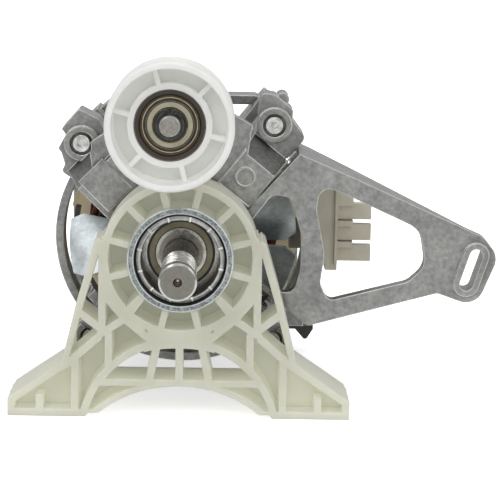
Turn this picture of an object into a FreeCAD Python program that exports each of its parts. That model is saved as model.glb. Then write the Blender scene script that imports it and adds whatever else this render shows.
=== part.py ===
import FreeCAD, Part
import math
import os
from FreeCAD import Vector

# Tumble dryer motor with its front foot, belt idler wheel, fan and tension arm.
# Millimetres. X to the right, Y along the shaft towards the back, Z up.
# The origin is on the shaft axis, at the front face of the foot's steel ring.

os.makedirs("parts", exist_ok=True)

# Clearances shared by all the fits
running_gap = 0.05
loose_gap = 0.3
seat_gap = 0.1

# Lengths and angles below this count as none
smallest = 0.0001

# Shaft with its grooved belt end
shaft_height = 78.0
shaft_nose = 54.0
nose_collar_radius = 8.8
nose_collar_length = 6.0
nose_bevel = 1.0
centre_drill_radius = 2.0
centre_drill_depth = 5.0
centre_drill_tip_radius = 0.5
belt_crest_radius = 8.35
belt_root_radius = 7.1
belt_pitch = 2.34
belt_groove_count = 12
belt_land = 0.4
groove_slope_share = 0.4
groove_floor_share = 0.16
bearing_seat_lead = 3.0
bearing_seat_step = 0.6
rear_seat_lead = 14.0
tail_shoulder = 3.0
tail_groove_setback = 5.0
tail_groove_width = 1.0
tail_bevel = 0.8
retainer_groove_depth = 0.7
tail_reach = 31.0
tail_radius = 6.0
tail_flat_depth = 1.5
tail_flat_length = 16.0
tail_groove_radius = 5.2
rotor_seat_radius = 8.3
spring_ring_thickness = 1.2
spring_ring_outer_radius = 11.6
spring_eye_share = 0.44
spring_gap = 0.6
spring_ring_wall = 1.0

# Steel ring, rubber ring and push-on ring round the front hub
ring_outer_radius = 25.6
ring_lip = 1.5
ring_edge_bevel = 0.6
ring_skirt_outer_radius = 23.25
ring_skirt_wall = 0.9
ring_skirt_length = 17.0
star_inner_radius = 18.9
star_outer_radius = 21.6
star_thickness = 0.8
star_tab_lift = 0.6
star_slit_width = 0.6
star_slit_margin = 0.7
star_tab_count = 12
star_tab_first_angle = 17.0

# Plastic front foot
foot_depth = 33.0
foot_half_width = 83.0
foot_wall = 3.6
foot_web = 3.0
toe_web_setback = 11.0
disc_radius = 38.2
disc_spoke = 3.2
disc_spoke_count = 12
toe_height = 9.0
ankle_x = 56.7
ankle_height = 27.1
shin_x = 49.8
shin_height = 56.2
knee_x = 41.3
knee_z = 7.8
knee_chamfer = 2.7
foot_pad_inner_x = 45.5
pad_step = 1.8
pad_slope = 1.5
toe_inner_x = 40.0
toe_rib_x = 67.5
toe_rib_height = 10.5
hub_tube_set_in = 0.2
outer_run_inset = 0.8
inner_rib_top = 5.0
side_rib_hip_z = -16.5
cross_root_radius = 24.0
cross_root_angle = 225.0
cross_foot_x = 12.0
leg_rib_foot_height = 23.0
ankle_rib_rise = 4.0
thigh_rib_start = (50.0, -25.2)
thigh_rib_drop = 2.8
upper_arch_side = ((46.2, 1.5), (41.6, 13.0), (35.6, 22.0), (27.0, 30.0), (16.5, 35.2))
crown_half_width = 17.5
crown_drop = 2.1
crown_wall = 4.4
crown_fill_half = 15.5
rim_fills = (((35.9, -10.0), (35.0, -18.5)), ((36.8, 4.5), (35.0, 15.5)), ((17.0, -35.0), (23.0, -31.4)))
bridge_strut_tops = (-10.4, 0.0, 10.4)
bridge_strut_feet = (-14.6, 0.0, 14.6)
arch_height = 15.6
arch_end_x = 38.5
arch_end_height = 2.3
arch_wall = 3.0
bridge_top_height = 18.8
upper_arch_height = 36.7
side_rib_x = 37.4
leg_rib_x = 34.2
ankle_rib_x = 50.4
cross_x = 26.4
cross_z = -29.3
joint_x = 38.2
joint_z = -37.0

# Cast front shield
hub_front = 3.6
hub_front_radius = 20.8
hub_mouth_radius = 18.9
hub_back_radius = 22.7
hub_step = 19.5
hub_back = 42.0
hub_disc_radius = 33.0
shield_front = 28.0
spoke_thickness = 7.0
spoke_bend_set_in = 1.0
ear_front = 46.0
ear_slope = 9.0
ear_depth = 20.0
guard_wall = 4.2
fan_tip_gap = 3.0
guard_set_forward = 28.0
guard_depth = 15.0
bolt_margins = (13.065, 17.399, 8.502, 8.502)
bolt_angles = (135.285, 53.358, 226.828, 313.172)
spoke_angles = (135.3, 51.4, 224.7, 315.3)
spoke_low_sides = (-11.0, -12.7, -8.0, -8.0)
spoke_high_sides = (14.8, 7.7, 8.0, 8.0)
spoke_end_steps = (-2.1, 0.6, 0.5, 0.5)
spoke_set_backs = (0.0, 2.0, 0.0, 0.0)
spoke_root_radius = 48.0
spoke_tip_wall = 3.0
spoke_tip_rise = 12.0
post_radius = 6.8
post_overlap = 6.0
post_web = 10.0
upper_left_ear = ((8.5, 12, 2), (-1.4, 16.9, 1), (-10.1, 7, 1), (-7.9, 4.2, 0.5), (-11.7, -2.9, 1),
                  (-10.1, -4.8, 1), (-8.3, -10.7, 1), (-10, -14.4, 2), (4.5, -24, 0), (17.5, -6, 0))
upper_right_ear = ((-7.6, -15.5, 0), (-8.1, 5.5, 4), (-6.4, 16, 2), (0.2, 15, 1), (9.2, 7.7, 2),
                   (9, 2.9, 1), (15.8, -6.2, 3), (7, -16.5, 0))
lower_left_ear = ((11.5, 14.5, 2), (-5.7, 13.5, 2), (-7.1, -2, 4), (-1.5, -8.5, 3), (7.5, -8.5, 3),
                  (11.5, 2.5, 2))
ear_knob = (4.0, 12.7)
ear_knob_radius = 3.2
screw_recess_gap = 1.6
bolt_hole_gap = 0.25
screw_rim_radius = 8.6
screw_rim_proud = 2.0
pad_proud = 0.8
pad_inner_radius = 38.6
pad_outer_radius = 59.5
pad_low_side = -4.5
pad_high_side = 12.0
mark_x = 30.6
mark_z = 36.5
mark_wall = 0.8
mark_radius = 5.0
border_width = 0.7
border_proud = 0.5
border_corners = ((58.5, 7.3), (37.2, 7.3), (37.2, -12.2), (73.0, -12.2))
pin_x = -4.4
pin_z = 70.0
pin_boss_radius = 12.5
pin_boss_tip_radius = 9.0
pin_boss_front = -17.0
bridge_set_back = 2.0
bridge_shoulders = ((25.9, 66.4, 3), (34.0, 62.0, 0), (30, 34, 0), (0, 20, 0))
bridge_left_side = ((-44, 38, 0), (-46, 52, 4))
bridge_crown = 4.0
bridge_opening = ((-24, 44, 4), (-12, 56, 4), (8, 56, 4), (16, 44, 4))

# Tension arm, cast in one with the front shield
arm_thickness = 7.0
arm_flange_wall = 4.0
arm_flange_depth = 50.0
arm_top = ((57.3, 48.6), (85.6, 36.5), (142.3, 11.4))
arm_top_bend = 60.0
arm_root = ((25, 10, 0), (36.2, 25.2, 0))
arm_end = ((149.0, 8.6, 8), (156.5, -1.0, 9), (146.2, -26.5, 9), (126.7, -19.8, 3), (63.0, -37.2, 2),
           (33.0, -13.6, 0), (25, -8, 0))
arm_window = ((68.0, 33.5, 5.5), (80.0, 29.0, 30), (117.5, 12.0, 12), (120.5, -6.5, 10), (112.0, -14.3, 8),
              (72.5, -24.6, 4.5), (68.6, -16.0, 8), (70.6, -1.0, 20), (66.0, 22.0, 10))
hub_window = ((34.4, 15.5, 1), (44.2, 28.4, 5), (53.5, 27.0, 5), (58.6, 9.0, 20), (58.8, -8.0, 15),
              (55.5, -20.8, 5), (44.5, -19.8, 4), (34.4, -11.5, 1))
arm_flange_taper = 6.0
slot_x = 143.1
slot_z = -7.6
slot_length = 21.5
slot_width = 6.6
slot_tilt = 17.7
slot_rim = 3.0
slot_boss_depth = 14.0
slot_boss_proud = 1.5

# Stator, rotor and windings
stack_front = 95.0
stack_length = 50.0
yoke_depth = 12.0
stator_bore_radius = 28.0
slot_count = 24
slot_inner_radius = 31.0
slot_outer_radius = 46.0
slot_opening = 2.4
tooth_width = 4.6
air_gap = 0.4
stack_flat_width = 40.0
stack_flat_depth = 1.5
cage_ring_length = 5.0
cage_fin_count = 9
cage_fin_length = 6.0
cage_fin_width = 1.8
cage_ring_width = 9.0
cage_ring_inset = 0.6
winding_set_in = 10.5
winding_turns_per_layer = 3
winding_layers = 4
winding_wire = 3.1
winding_pitch = 4.0
lead_bend = 3.4
winding_start_angle = 200.0
quarters_per_turn = 4
tangent_step = 0.001
gap_samples = 1200
insulator_thickness = 2.0
insulator_land = 3.0
insulator_wall = 1.8
insulator_wall_proud = 1.4
insulator_wall_depth = 10.0
insulator_gap_angles = (168.0, 210.0, 270.0, 325.0)
lead_gap = 0.65
bundle_overhang = 6.0

# Fan on the rotor
fan_set_forward = 31.6
fan_sheet = 1.0
fan_disc_radius = 27.0
fan_blade_pitch = 28.0
fan_blade_spread = 33.0
blade_root_radius = 20.0
blade_root_half = 5.0
blade_neck_radius = 30.0
blade_neck_share = 0.62
blade_shoulder_set_in = 8.0
blade_tip_share = 0.7
fan_blade_angles = (15.0, 71.7, 128.6, 185.3, 234.0, 281.0, 340.5)
fan_hub_radius = 14.0
fan_hub_length = 10.0
fan_hub_rim = 4.0

# Rear shield
rear_frame_lap = 2.0
rear_frame_depth = 20.0
rear_frame_wall = 5.0
rear_side_margin = 4.0
rear_top_margin = 7.5
rear_flat_set_in = 20.0
rear_side_set_in = 14.0
rear_bowl_gap = 1.0
rear_rib_width = 14.0
rear_ear_margin = 4.5
rear_plate_set_back = 9.0
rear_plate_thickness = 6.0
rear_corner_radius = 5.0
rear_root_radius = 14.0
rear_seat_overlap = 6.0
rear_flange_width = 8.0
rear_lip = 4.0
clip_pad_depth = 14.0
rear_hub_radius = 21.5
tie_bolt_radius = 2.5
bolt_end_setback = 6.0
tie_head_radius = 4.2
tie_head_height = 3.6
tie_drive_radius = 1.9
head_seat_depth = 1.5

# Bearings
front_bearing_bore = 8.5
front_bearing_radius = 20.0
front_bearing_width = 12.0
front_ball_radius = 3.37
front_ball_count = 8
rear_bearing_bore = 7.5
rear_bearing_radius = 17.5
rear_bearing_width = 11.0
rear_ball_radius = 2.98
rear_ball_count = 8
wheel_bearing_bore = 5.0
wheel_bearing_radius = 13.0
wheel_bearing_width = 8.0
wheel_ball_radius = 2.38
wheel_ball_count = 7
ball_circle_offset = 0.25
race_land_share = 0.62
front_bearing_y = 20.0
rear_bearing_lead = 1.0
cage_wall = 1.4
cage_edge = 0.5
seal_thickness = 0.5
seal_set_back = 0.3

# Idler wheel on its pin
wheel_front = -54.0
wheel_width = 32.0
wheel_flange_radius = 29.2
wheel_track_radius = 27.2
wheel_flange_width = 3.5
wheel_rim_inner_radius = 26.1
wheel_hub_outer_radius = 19.2
wheel_hub_bore_radius = 16.3
wheel_hub_recess = 7.5
wheel_web = 3.0
wheel_rib = 2.2
wheel_rib_count = 6
wheel_rib_set_in = 3.0
wheel_rib_first_angle = 46.0
wheel_back_bevel = 1.2
sleeve_wall_step = 1.2
sleeve_lip = 2.0
pin_bevel = 1.2
pin_shoulder = 1.8
pin_groove_depth = 0.5
sleeve_length = 16.0
sleeve_front_inset = 1.5
bearing_set_in = 1.5
pin_front = -50.0
pin_in_casting = 36.0
wheel_ring_outer_radius = 7.4

# Terminal block on the right of the stator
block_stand_off = 9.1
block_plate_width = 11.5
block_width = 29.0
block_set_forward = 13.0
block_depth = 20.0
block_top = 27.0
block_bottom = -16.1
block_rib_width = 1.6
block_rib_proud = 1.2
block_cell_count = 3
block_cell_height = 8.4
block_cell_pitch = 11.0
block_cell_top = 16.0
block_cell_depth = 6.0
block_cell_set_back = 1.5
block_cell_wall = 0.8
block_cell_floor = 2.0
block_ledge_width = 8.0
block_ledge_rises = (7.0, 1.9, 1.9)
block_ledge_drop = 1.3
block_tab_width = 6.1
block_tab_drop = 3.1
block_foot_half = 8.0
block_foot_reach = 4.5
blade_set_in = 2.0
blade_set_back = 4.0
blade_width = 6.3
blade_thickness = 0.8

# Wire clip under the rear shield's lower right corner
clip_side_margin = 2.0
clip_set_up = 1.5
clip_drop = 5.6
clip_depth = 10.0
clip_peg_radius = 2.0
clip_peg_length = 6.0
clip_loop_x = -6.6
clip_loop_radius = 4.4
clip_loop_wall = 1.6
clip_leg_x = -12.4
clip_bar_right = 7.6
clip_bar_wall = 1.8
clip_hook_right = 4.1
clip_hook_left = 2.4

# Values worked out from the sizes above
floor_z = -shaft_height
foot_front = ring_lip + loose_gap
foot_back = foot_front + foot_depth
stator_radius = slot_outer_radius + yoke_depth
spoke_bend_radius = stator_radius - spoke_bend_set_in
corner_bolts = [(round((stator_radius + margin) * math.cos(math.radians(angle)), 3),
                 round((stator_radius + margin) * math.sin(math.radians(angle)), 3))
                for margin, angle in zip(bolt_margins, bolt_angles)]
fan_radius = stator_radius
guard_inner_radius = fan_radius + fan_tip_gap
guard_radius = guard_inner_radius + guard_wall
guard_front = stack_front - guard_set_forward
fan_y = stack_front - fan_set_forward
stack_back = stack_front + stack_length
rear_frame_front = stack_back - rear_frame_lap
rear_plate_front = rear_frame_front + rear_frame_depth + rear_plate_set_back
rear_bearing_y = rear_plate_front - rear_bearing_lead
rear_race_back = rear_bearing_y + rear_bearing_width
rear_hub_back = rear_race_back + rear_lip
shaft_tail = rear_race_back + tail_reach
insulator_inner_radius = slot_outer_radius + insulator_land
insulator_wall_radius = stator_radius + insulator_wall_proud
winding_inner_radius = slot_outer_radius - winding_set_in
lead_radius = winding_inner_radius + (winding_turns_per_layer + 1) * winding_pitch
rear_insulator_radius = lead_radius + winding_wire / 2 + lead_gap + insulator_wall
rear_bowl_radius = rear_insulator_radius + rear_bowl_gap
rear_half_width = stator_radius + rear_side_margin
rear_half_height = stator_radius + rear_top_margin
rear_flat_half_width = stator_radius - rear_flat_set_in
rear_side_half_height = stator_radius - rear_side_set_in
block_left = insulator_wall_radius + block_stand_off
block_plate_right = block_left + block_plate_width
block_right = block_left + block_width
block_front = stack_front - block_set_forward
clip_x = rear_half_width + clip_side_margin
clip_top = clip_set_up + 1.0 - rear_half_height
disc_back = shield_front - loose_gap
wheel_back = wheel_front + wheel_width
wheel_bearing_y = wheel_front + wheel_hub_recess + sleeve_front_inset + bearing_set_in
belt_start = -shaft_nose + nose_collar_length
front_race_back = front_bearing_y + front_bearing_width


def tube(outer, inner, start, end, x=0.0, z=0.0):
    """A round tube or, with inner 0, a rod, along Y."""
    body = Part.makeCylinder(outer, end - start, Vector(x, start, z), Vector(0, 1, 0))
    if inner > 0:
        body = body.cut(Part.makeCylinder(inner, end - start, Vector(x, start, z), Vector(0, 1, 0)))
    return body


def cone(start_radius, end_radius, start, end, x=0.0, z=0.0):
    """A cone along Y."""
    return Part.makeCone(start_radius, end_radius, end - start, Vector(x, start, z), Vector(0, 1, 0))


def turned(profile, x=0.0, z=0.0):
    """A turned piece about an axis along Y, from points (radius, y)."""
    points = [Vector(x + radius, y, z) for radius, y in profile]
    face = Part.Face(Part.makePolygon(points + [points[0]]))
    return face.revolve(Vector(x, 0, z), Vector(0, 1, 0), 360)


def slab(points, start, end):
    """A flat plate across Y, from corner points (x, z)."""
    corners = [Vector(x, start, z) for x, z in points]
    face = Part.Face(Part.makePolygon(corners + [corners[0]]))
    return face.extrude(Vector(0, end - start, 0))


def rounded_slab(corners, start, end):
    """A flat plate across Y, from corner points (x, z, corner radius)."""
    edges = []
    count = len(corners)
    ends = []
    for index, (x, z, radius) in enumerate(corners):
        here = Vector(x, start, z)
        before = Vector(corners[index - 1][0], start, corners[index - 1][1])
        after = Vector(corners[(index + 1) % count][0], start, corners[(index + 1) % count][1])
        back = (before - here).normalize()
        ahead = (after - here).normalize()
        half_angle = back.getAngle(ahead) / 2
        if radius <= 0 or abs(half_angle - math.pi / 2) < smallest:
            ends.append((here, None, here))
            continue
        reach = radius / math.tan(half_angle)
        centre = here + (back + ahead).normalize() * (radius / math.sin(half_angle))
        middle = centre + (here - centre).normalize() * radius
        ends.append((here + back * reach, middle, here + ahead * reach))
    for index, (first, middle, last) in enumerate(ends):
        if middle is not None:
            edges.append(Part.Arc(first, middle, last).toShape())
        following = ends[(index + 1) % count][0]
        if (following - last).Length > smallest:
            edges.append(Part.LineSegment(last, following).toShape())
    return Part.Face(Part.Wire(edges)).extrude(Vector(0, end - start, 0))


def bar(first, last, thickness, start, end):
    """A straight rib across Y between two points (x, z)."""
    run_x = last[0] - first[0]
    run_z = last[1] - first[1]
    length = math.hypot(run_x, run_z)
    side_x = -run_z / length * thickness / 2
    side_z = run_x / length * thickness / 2
    points = [(first[0] + side_x, first[1] + side_z), (last[0] + side_x, last[1] + side_z),
              (last[0] - side_x, last[1] - side_z), (first[0] - side_x, first[1] - side_z)]
    return slab(points, start, end)


def box(x0, x1, y0, y1, z0, z1):
    """A box between two corners."""
    return Part.makeBox(x1 - x0, y1 - y0, z1 - z0, Vector(x0, y0, z0))


def polar(radius, angle):
    """The point (x, z) at a radius and an angle in degrees about the shaft."""
    return radius * math.cos(math.radians(angle)), radius * math.sin(math.radians(angle))


def spin(shape, angle, x=0.0, z=0.0):
    """A copy of a shape, turned from +X towards +Z about an axis along Y."""
    copy = shape.copy()
    copy.rotate(Vector(x, 0, z), Vector(0, -1, 0), angle)
    return copy


def join(shapes):
    """One clean solid or group of solids from overlapping shapes."""
    whole = shapes[0].multiFuse(shapes[1:]) if len(shapes) > 1 else shapes[0]
    return whole.removeSplitter()


def save(name, shape):
    """Write one piece."""
    shape.exportStep("parts/" + name + ".step")
    print(name, len(shape.Solids), round(shape.Volume / 1000.0, 2), "cm3", shape.isValid())


# Front foot

def arch_band(ends, middle, thickness, start, end):
    """A curved rib whose centre line is the arc through three points."""
    low, high = ends
    through = [Vector(x, 0, z) for x, z in (low, middle, high)]
    circle = Part.Arc(*through).toShape().Curve
    centre = circle.Center
    lines = []
    for side in (-thickness / 2, thickness / 2):
        moved = []
        for x, z in (low, middle, high):
            out = (Vector(x, 0, z) - centre).normalize() * (circle.Radius + side) + centre
            moved.append(Vector(out.x, start, out.z))
        lines.append(moved)
    inner, outer = lines
    edges = [Part.Arc(*inner).toShape(), Part.LineSegment(inner[2], outer[2]).toShape(),
             Part.Arc(*reversed(outer)).toShape(), Part.LineSegment(outer[0], inner[0]).toShape()]
    return Part.Face(Part.Wire(edges)).extrude(Vector(0, end - start, 0))


def foot_outline():
    """The outer corners of the foot's left half, from the floor up."""
    return [(-foot_half_width, floor_z), (-foot_half_width, floor_z + toe_height),
            (-ankle_x, floor_z + ankle_height), (-shin_x, floor_z + shin_height),
            (-knee_x, knee_z), (-knee_x + knee_chamfer, knee_z + knee_chamfer), (0, disc_radius / 2)]


def foot_block(start, end):
    """The whole silhouette of the foot as one plate."""
    left = foot_outline()
    right = [(-x, z) for x, z in reversed(left[:-1])]
    pad_top = floor_z + pad_step
    low = [(foot_pad_inner_x, floor_z), (foot_pad_inner_x - pad_slope, pad_top),
           (toe_inner_x, pad_top), (arch_end_x, floor_z + arch_end_height)]
    low = low + [(-x, z) for x, z in reversed(low)]
    plate = slab(left + right + low, start, end).fuse(tube(disc_radius, 0, start, end))
    return plate.cut(arch_opening(start, end, 0.0))


def arch_opening(start, end, wall):
    """The space under the foot's bottom arch, grown by a wall."""
    rise = arch_height - arch_end_height
    radius = (arch_end_x ** 2 + rise ** 2) / (2 * rise)
    centre_z = floor_z + arch_height - radius
    return tube(radius + wall, 0, start, end, 0.0, centre_z)


def foot_web_plate():
    """Thin back wall of the pockets, left out where the foot is open."""
    web = foot_block(disc_back - foot_web, disc_back)
    start = disc_back - foot_web - 1
    end = disc_back + 1
    for side in (-1, 1):
        rib = side * side_rib_x
        ankle_z = floor_z + ankle_height
        edge = side * foot_half_width
        open_side = slab([(rib, disc_radius), (rib, joint_z), (side * ankle_x, ankle_z), (edge, ankle_z),
                          (edge, disc_radius)], start, end)
        web = web.cut(open_side.cut(tube(disc_radius, 0, start, end)))
    bar_z = floor_z + bridge_top_height
    below = slab([(-arch_end_x, bar_z), (arch_end_x, bar_z), (arch_end_x, cross_z), (-arch_end_x, cross_z)],
                 start, end)
    return web.cut(below.common(arch_rib_disc(start, end)))


def arch_rib_disc(start, end):
    """The round space that the foot's upper arch rib goes round, closed at the top by a flatter arc."""
    points = [(-ankle_rib_x, floor_z)] + [(-x, floor_z + height) for x, height in upper_arch_side]
    points.append((0, floor_z + upper_arch_height))
    return slab(points + [(-x, z) for x, z in reversed(points[:-1])], start, end)


def toe_web_plates():
    """Shallow walls that close the pockets in the toes."""
    front = foot_front + toe_web_setback
    silhouette = foot_block(front, front + foot_web)
    toes = [box(-foot_half_width, -ankle_rib_x, front, front + foot_web, floor_z, cross_z),
            box(ankle_rib_x, foot_half_width, front, front + foot_web, floor_z, floor_z + ankle_height)]
    return [toe.common(silhouette) for toe in toes]


def front_foot():
    """Ribbed plastic foot: hub tube, round disc, two legs and an arched base."""
    bore = ring_skirt_outer_radius + running_gap
    hub_outer = ring_outer_radius - hub_tube_set_in
    pieces = [foot_web_plate(), tube(hub_outer, 0, foot_front, disc_back)]
    pieces += toe_web_plates()
    pieces.append(tube(disc_radius, disc_radius - foot_wall, foot_front, disc_back))
    step = 360.0 / disc_spoke_count
    for index in range(disc_spoke_count):
        angle = step * (index + 0.5)
        pieces.append(bar(polar(hub_outer - 1, angle), polar(disc_radius - 1.0, angle), disc_spoke,
                          foot_front, disc_back))
    for side in (-1, 1):
        pieces += foot_leg_ribs(side)
    bar_z = floor_z + bridge_top_height
    for top_x, low_x in zip(bridge_strut_tops, bridge_strut_feet):
        pieces.append(bar((top_x, floor_z + upper_arch_height), (low_x, bar_z - 1), foot_wall,
                          foot_front, disc_back))
    arch_z = floor_z + upper_arch_height
    crown_ends = [(side * crown_half_width, arch_z - crown_drop) for side in (-1, 1)]
    pieces.append(arch_band(crown_ends, (0, arch_z), crown_wall, foot_front, disc_back))
    fill_top = foot_wall - disc_radius - seat_gap
    pieces.append(box(-crown_fill_half, crown_fill_half, foot_front, disc_back, arch_z, fill_top))
    silhouette = foot_block(foot_front, foot_back)
    pieces.append(arch_opening(foot_front, disc_back, arch_wall).common(silhouette))
    bar_low = floor_z + arch_height - seat_gap
    pieces.append(box(-arch_end_x, arch_end_x, foot_front, disc_back, bar_low, bar_z))
    floor_strip = box(-foot_half_width, foot_half_width, foot_front, foot_back, floor_z, floor_z + foot_wall)
    pieces.append(floor_strip.common(silhouette))
    body = join(pieces).common(silhouette)
    body = body.cut(tube(bore, 0, foot_front - 1, foot_back + 1))
    return body.removeSplitter()


def foot_leg_ribs(side):
    """The outer wall and inner ribs of one leg."""
    half = foot_wall / 2
    inset = outer_run_inset
    outer = [(-foot_half_width + half, floor_z), (-foot_half_width + half, floor_z + toe_height - inset),
             (-ankle_x + inset, floor_z + ankle_height - half), (-shin_x + half, floor_z + shin_height),
             (-knee_x + half, knee_z - inset), (-knee_x + knee_chamfer + inset, knee_z + knee_chamfer - half)]
    toe_runs = [(outer[0], outer[1]), (outer[1], outer[2])]
    ankle = (-ankle_x + 2 * inset, floor_z + ankle_height - half)
    cross = (-cross_x, cross_z)
    arch_side = [(-x, floor_z + height) for x, height in upper_arch_side]
    runs = list(zip(outer[2:-1], outer[3:]))
    runs += [((-side_rib_x, inner_rib_top), (-side_rib_x, joint_z)),
             (polar(cross_root_radius, cross_root_angle), cross),
             (cross, (-joint_x, joint_z)),
             ((-joint_x, joint_z - inset), ankle),
             ((-side_rib_x, side_rib_hip_z), cross),
             (cross, (-cross_foot_x, floor_z + upper_arch_height)),
             ((-leg_rib_x, joint_z), (-leg_rib_x, floor_z + leg_rib_foot_height)),
             ((-ankle_rib_x, floor_z + ankle_height + ankle_rib_rise), (-ankle_rib_x, floor_z)),
             ((-thigh_rib_start[0], thigh_rib_start[1]), (-joint_x, joint_z + thigh_rib_drop))]
    runs += [tuple((-x, z) for x, z in fill) for fill in rim_fills]
    pieces = [bar(first, last, foot_wall, foot_front, foot_back) for first, last in toe_runs]
    pieces += [bar(first, last, foot_wall, foot_front, disc_back) for first, last in runs]
    joints = outer[1:-1] + [cross, ankle, (-joint_x, joint_z), (-leg_rib_x, joint_z)]
    pieces += [tube(half, 0, foot_front, disc_back, x, z) for x, z in joints]
    pieces.append(bar((-toe_rib_x, floor_z + toe_rib_height), (-toe_rib_x, floor_z), foot_wall, foot_front,
                      foot_front + toe_web_setback + 1))
    pieces.append(arch_band((arch_side[0], arch_side[-1]), arch_side[2], foot_wall, foot_front, disc_back))
    if side > 0:
        pieces = [piece.mirror(Vector(0, 0, 0), Vector(1, 0, 0)) for piece in pieces]
    return pieces


def foot_ring():
    """Galvanised steel ring with a flat lip over the foot's hub tube."""
    inner = ring_skirt_outer_radius - ring_skirt_wall
    bevel = ring_edge_bevel
    skirt_end = ring_lip + ring_skirt_length
    profile = [(inner, 0), (ring_outer_radius - bevel, 0), (ring_outer_radius, bevel),
               (ring_outer_radius, ring_lip), (ring_skirt_outer_radius, ring_lip),
               (ring_skirt_outer_radius, skirt_end), (inner, skirt_end)]
    return turned(profile)


def damper_ring():
    """Rubber ring bonded between the front hub and the steel ring."""
    outer = ring_skirt_outer_radius - ring_skirt_wall
    return tube(outer, hub_front_radius, hub_front, hub_step - loose_gap)


def star_ring():
    """Sprung push-on ring on the mouth of the hub, with twelve tabs."""
    back = hub_front
    front = back - star_thickness
    tip = front - star_tab_lift
    ring = turned([(star_inner_radius, tip), (star_inner_radius + star_thickness, tip),
                   (star_outer_radius, front), (star_outer_radius, back), (star_inner_radius, back)])
    slit = box(star_inner_radius - 1, star_outer_radius - star_slit_margin, tip - 1, back + 1,
               -star_slit_width / 2, star_slit_width / 2)
    for index in range(star_tab_count):
        angle = star_tab_first_angle + 360.0 / star_tab_count * index
        ring = ring.cut(spin(slit, angle))
    return ring


# Front shield

def hub_casting():
    """Bearing hub: a mouth, a seat for the bearing and a lip between them."""
    return join([tube(hub_front_radius, 0, hub_front, hub_step),
                 tube(hub_back_radius, 0, hub_step, hub_back),
                 tube(hub_disc_radius, 0, shield_front, shield_front + spoke_thickness)])


def hub_bores():
    """The bores cut through the hub from the front and the back."""
    return join([tube(hub_mouth_radius, 0, hub_front - 1, front_bearing_y),
                 tube(front_bearing_radius, 0, front_bearing_y, hub_back + 1)])


def shield_spoke(index):
    """One spoke: flat at the hub and bent back to its ear."""
    front = shield_front + spoke_set_backs[index]
    back = shield_front + spoke_thickness
    bend_end = spoke_bend_radius + ear_slope
    end = stator_radius + bolt_margins[index] + spoke_end_steps[index]
    side = [(hub_back_radius, front), (spoke_bend_radius, front), (bend_end, ear_front), (end, ear_front),
            (end, ear_front + ear_depth), (stator_radius, ear_front + ear_depth),
            (stator_radius - spoke_tip_wall, back + spoke_tip_rise), (spoke_root_radius, back),
            (hub_back_radius, back)]
    low = spoke_low_sides[index]
    corners = [Vector(radius, y, low) for radius, y in side]
    face = Part.Face(Part.makePolygon(corners + [corners[0]]))
    spoke = face.extrude(Vector(0, 0, spoke_high_sides[index] - low))
    return spin(spoke, spoke_angles[index])


def shield_post(index):
    """Post from one ear back to the stack, round its tie bolt, with a web towards the shaft."""
    x, z = corner_bolts[index]
    angle = math.degrees(math.atan2(z, x))
    end = stack_front + post_overlap
    web = box(stator_radius - spoke_tip_wall, math.hypot(x, z), ear_front, end, -post_web / 2, post_web / 2)
    return tube(post_radius, 0, ear_front, end, x, z).fuse(spin(web, angle))


def shield_ears():
    """The four corner ears that the tie bolts go through."""
    back = ear_front + ear_depth
    ears = []
    for outline, (bolt_x, bolt_z) in zip((upper_left_ear, upper_right_ear, lower_left_ear), corner_bolts):
        corners = [(bolt_x + x, bolt_z + z, radius) for x, z, radius in outline]
        ears.append(rounded_slab(corners, ear_front, back))
    ears.append(ears[2].mirror(Vector(0, 0, 0), Vector(1, 0, 0)))
    knob_x = corner_bolts[1][0] + ear_knob[0]
    knob_z = corner_bolts[1][1] + ear_knob[1]
    ears.append(tube(ear_knob_radius, 0, ear_front + screw_rim_proud, back, knob_x, knob_z))
    for x, z in corner_bolts:
        ears.append(tube(screw_rim_radius, 0, ear_front - screw_rim_proud, ear_front + 1, x, z))
    return ears


def ear_pocket(index):
    """Round recess and clearance hole for one tie bolt."""
    x, z = corner_bolts[index]
    recess = tube(tie_head_radius + screw_recess_gap, 0, shield_front, ear_front + head_seat_depth, x, z)
    hole = tube(tie_bolt_radius + bolt_hole_gap, 0, ear_front, rear_frame_front, x, z)
    return recess.fuse(hole)


def bridge_plate():
    """Plate between the two upper spokes that carries the idler's pin."""
    y0 = shield_front + bridge_set_back
    y1 = y0 + spoke_thickness
    fillet = pin_boss_radius / 2
    over_pin = [(pin_x - pin_boss_radius, pin_z + bridge_set_back, fillet),
                (pin_x, pin_z + pin_boss_radius + bridge_crown, pin_boss_radius),
                (pin_x + pin_boss_radius, pin_z + pin_boss_tip_radius, fillet)]
    web = rounded_slab(list(bridge_left_side) + over_pin + list(bridge_shoulders), y0, y1)
    boss = join([cone(pin_boss_tip_radius, pin_boss_radius, pin_boss_front, y0, pin_x, pin_z),
                 tube(pin_boss_radius, 0, y0, y1 + fillet, pin_x, pin_z)])
    opening = rounded_slab(bridge_opening, y0 - 1, y1 + 1)
    return web.cut(opening).fuse(boss)


def arm_casting():
    """Long arm with a big window, a left window and a slotted end."""
    y0 = shield_front
    y1 = y0 + arm_thickness
    top_left, top_middle, top_right = arm_top
    top_edge = [top_left + (0,), top_middle + (arm_top_bend,)]
    plate = rounded_slab(list(arm_root) + top_edge + list(arm_end), y0, y1)
    for window in (arm_window, hub_window):
        plate = plate.cut(rounded_slab(window, y0 - 1, y1 + 1))
    back = y0 + arm_flange_depth
    lower_edge = [(x, z - arm_flange_wall) for x, z in reversed(arm_top)]
    flange = slab(list(arm_top) + lower_edge, y0, back)
    corners = [Vector(top_left[0], y0, 0), Vector(top_right[0], y0, 0), Vector(top_right[0], y1, 0),
               Vector(top_left[0] + arm_flange_taper, back, 0), Vector(top_left[0], back, 0)]
    taper = Part.Face(Part.makePolygon(corners + [corners[0]]))
    flange = flange.common(taper.extrude(Vector(0, 0, top_left[1] * 2)))
    return join([plate, flange, slot_boss()])


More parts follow.
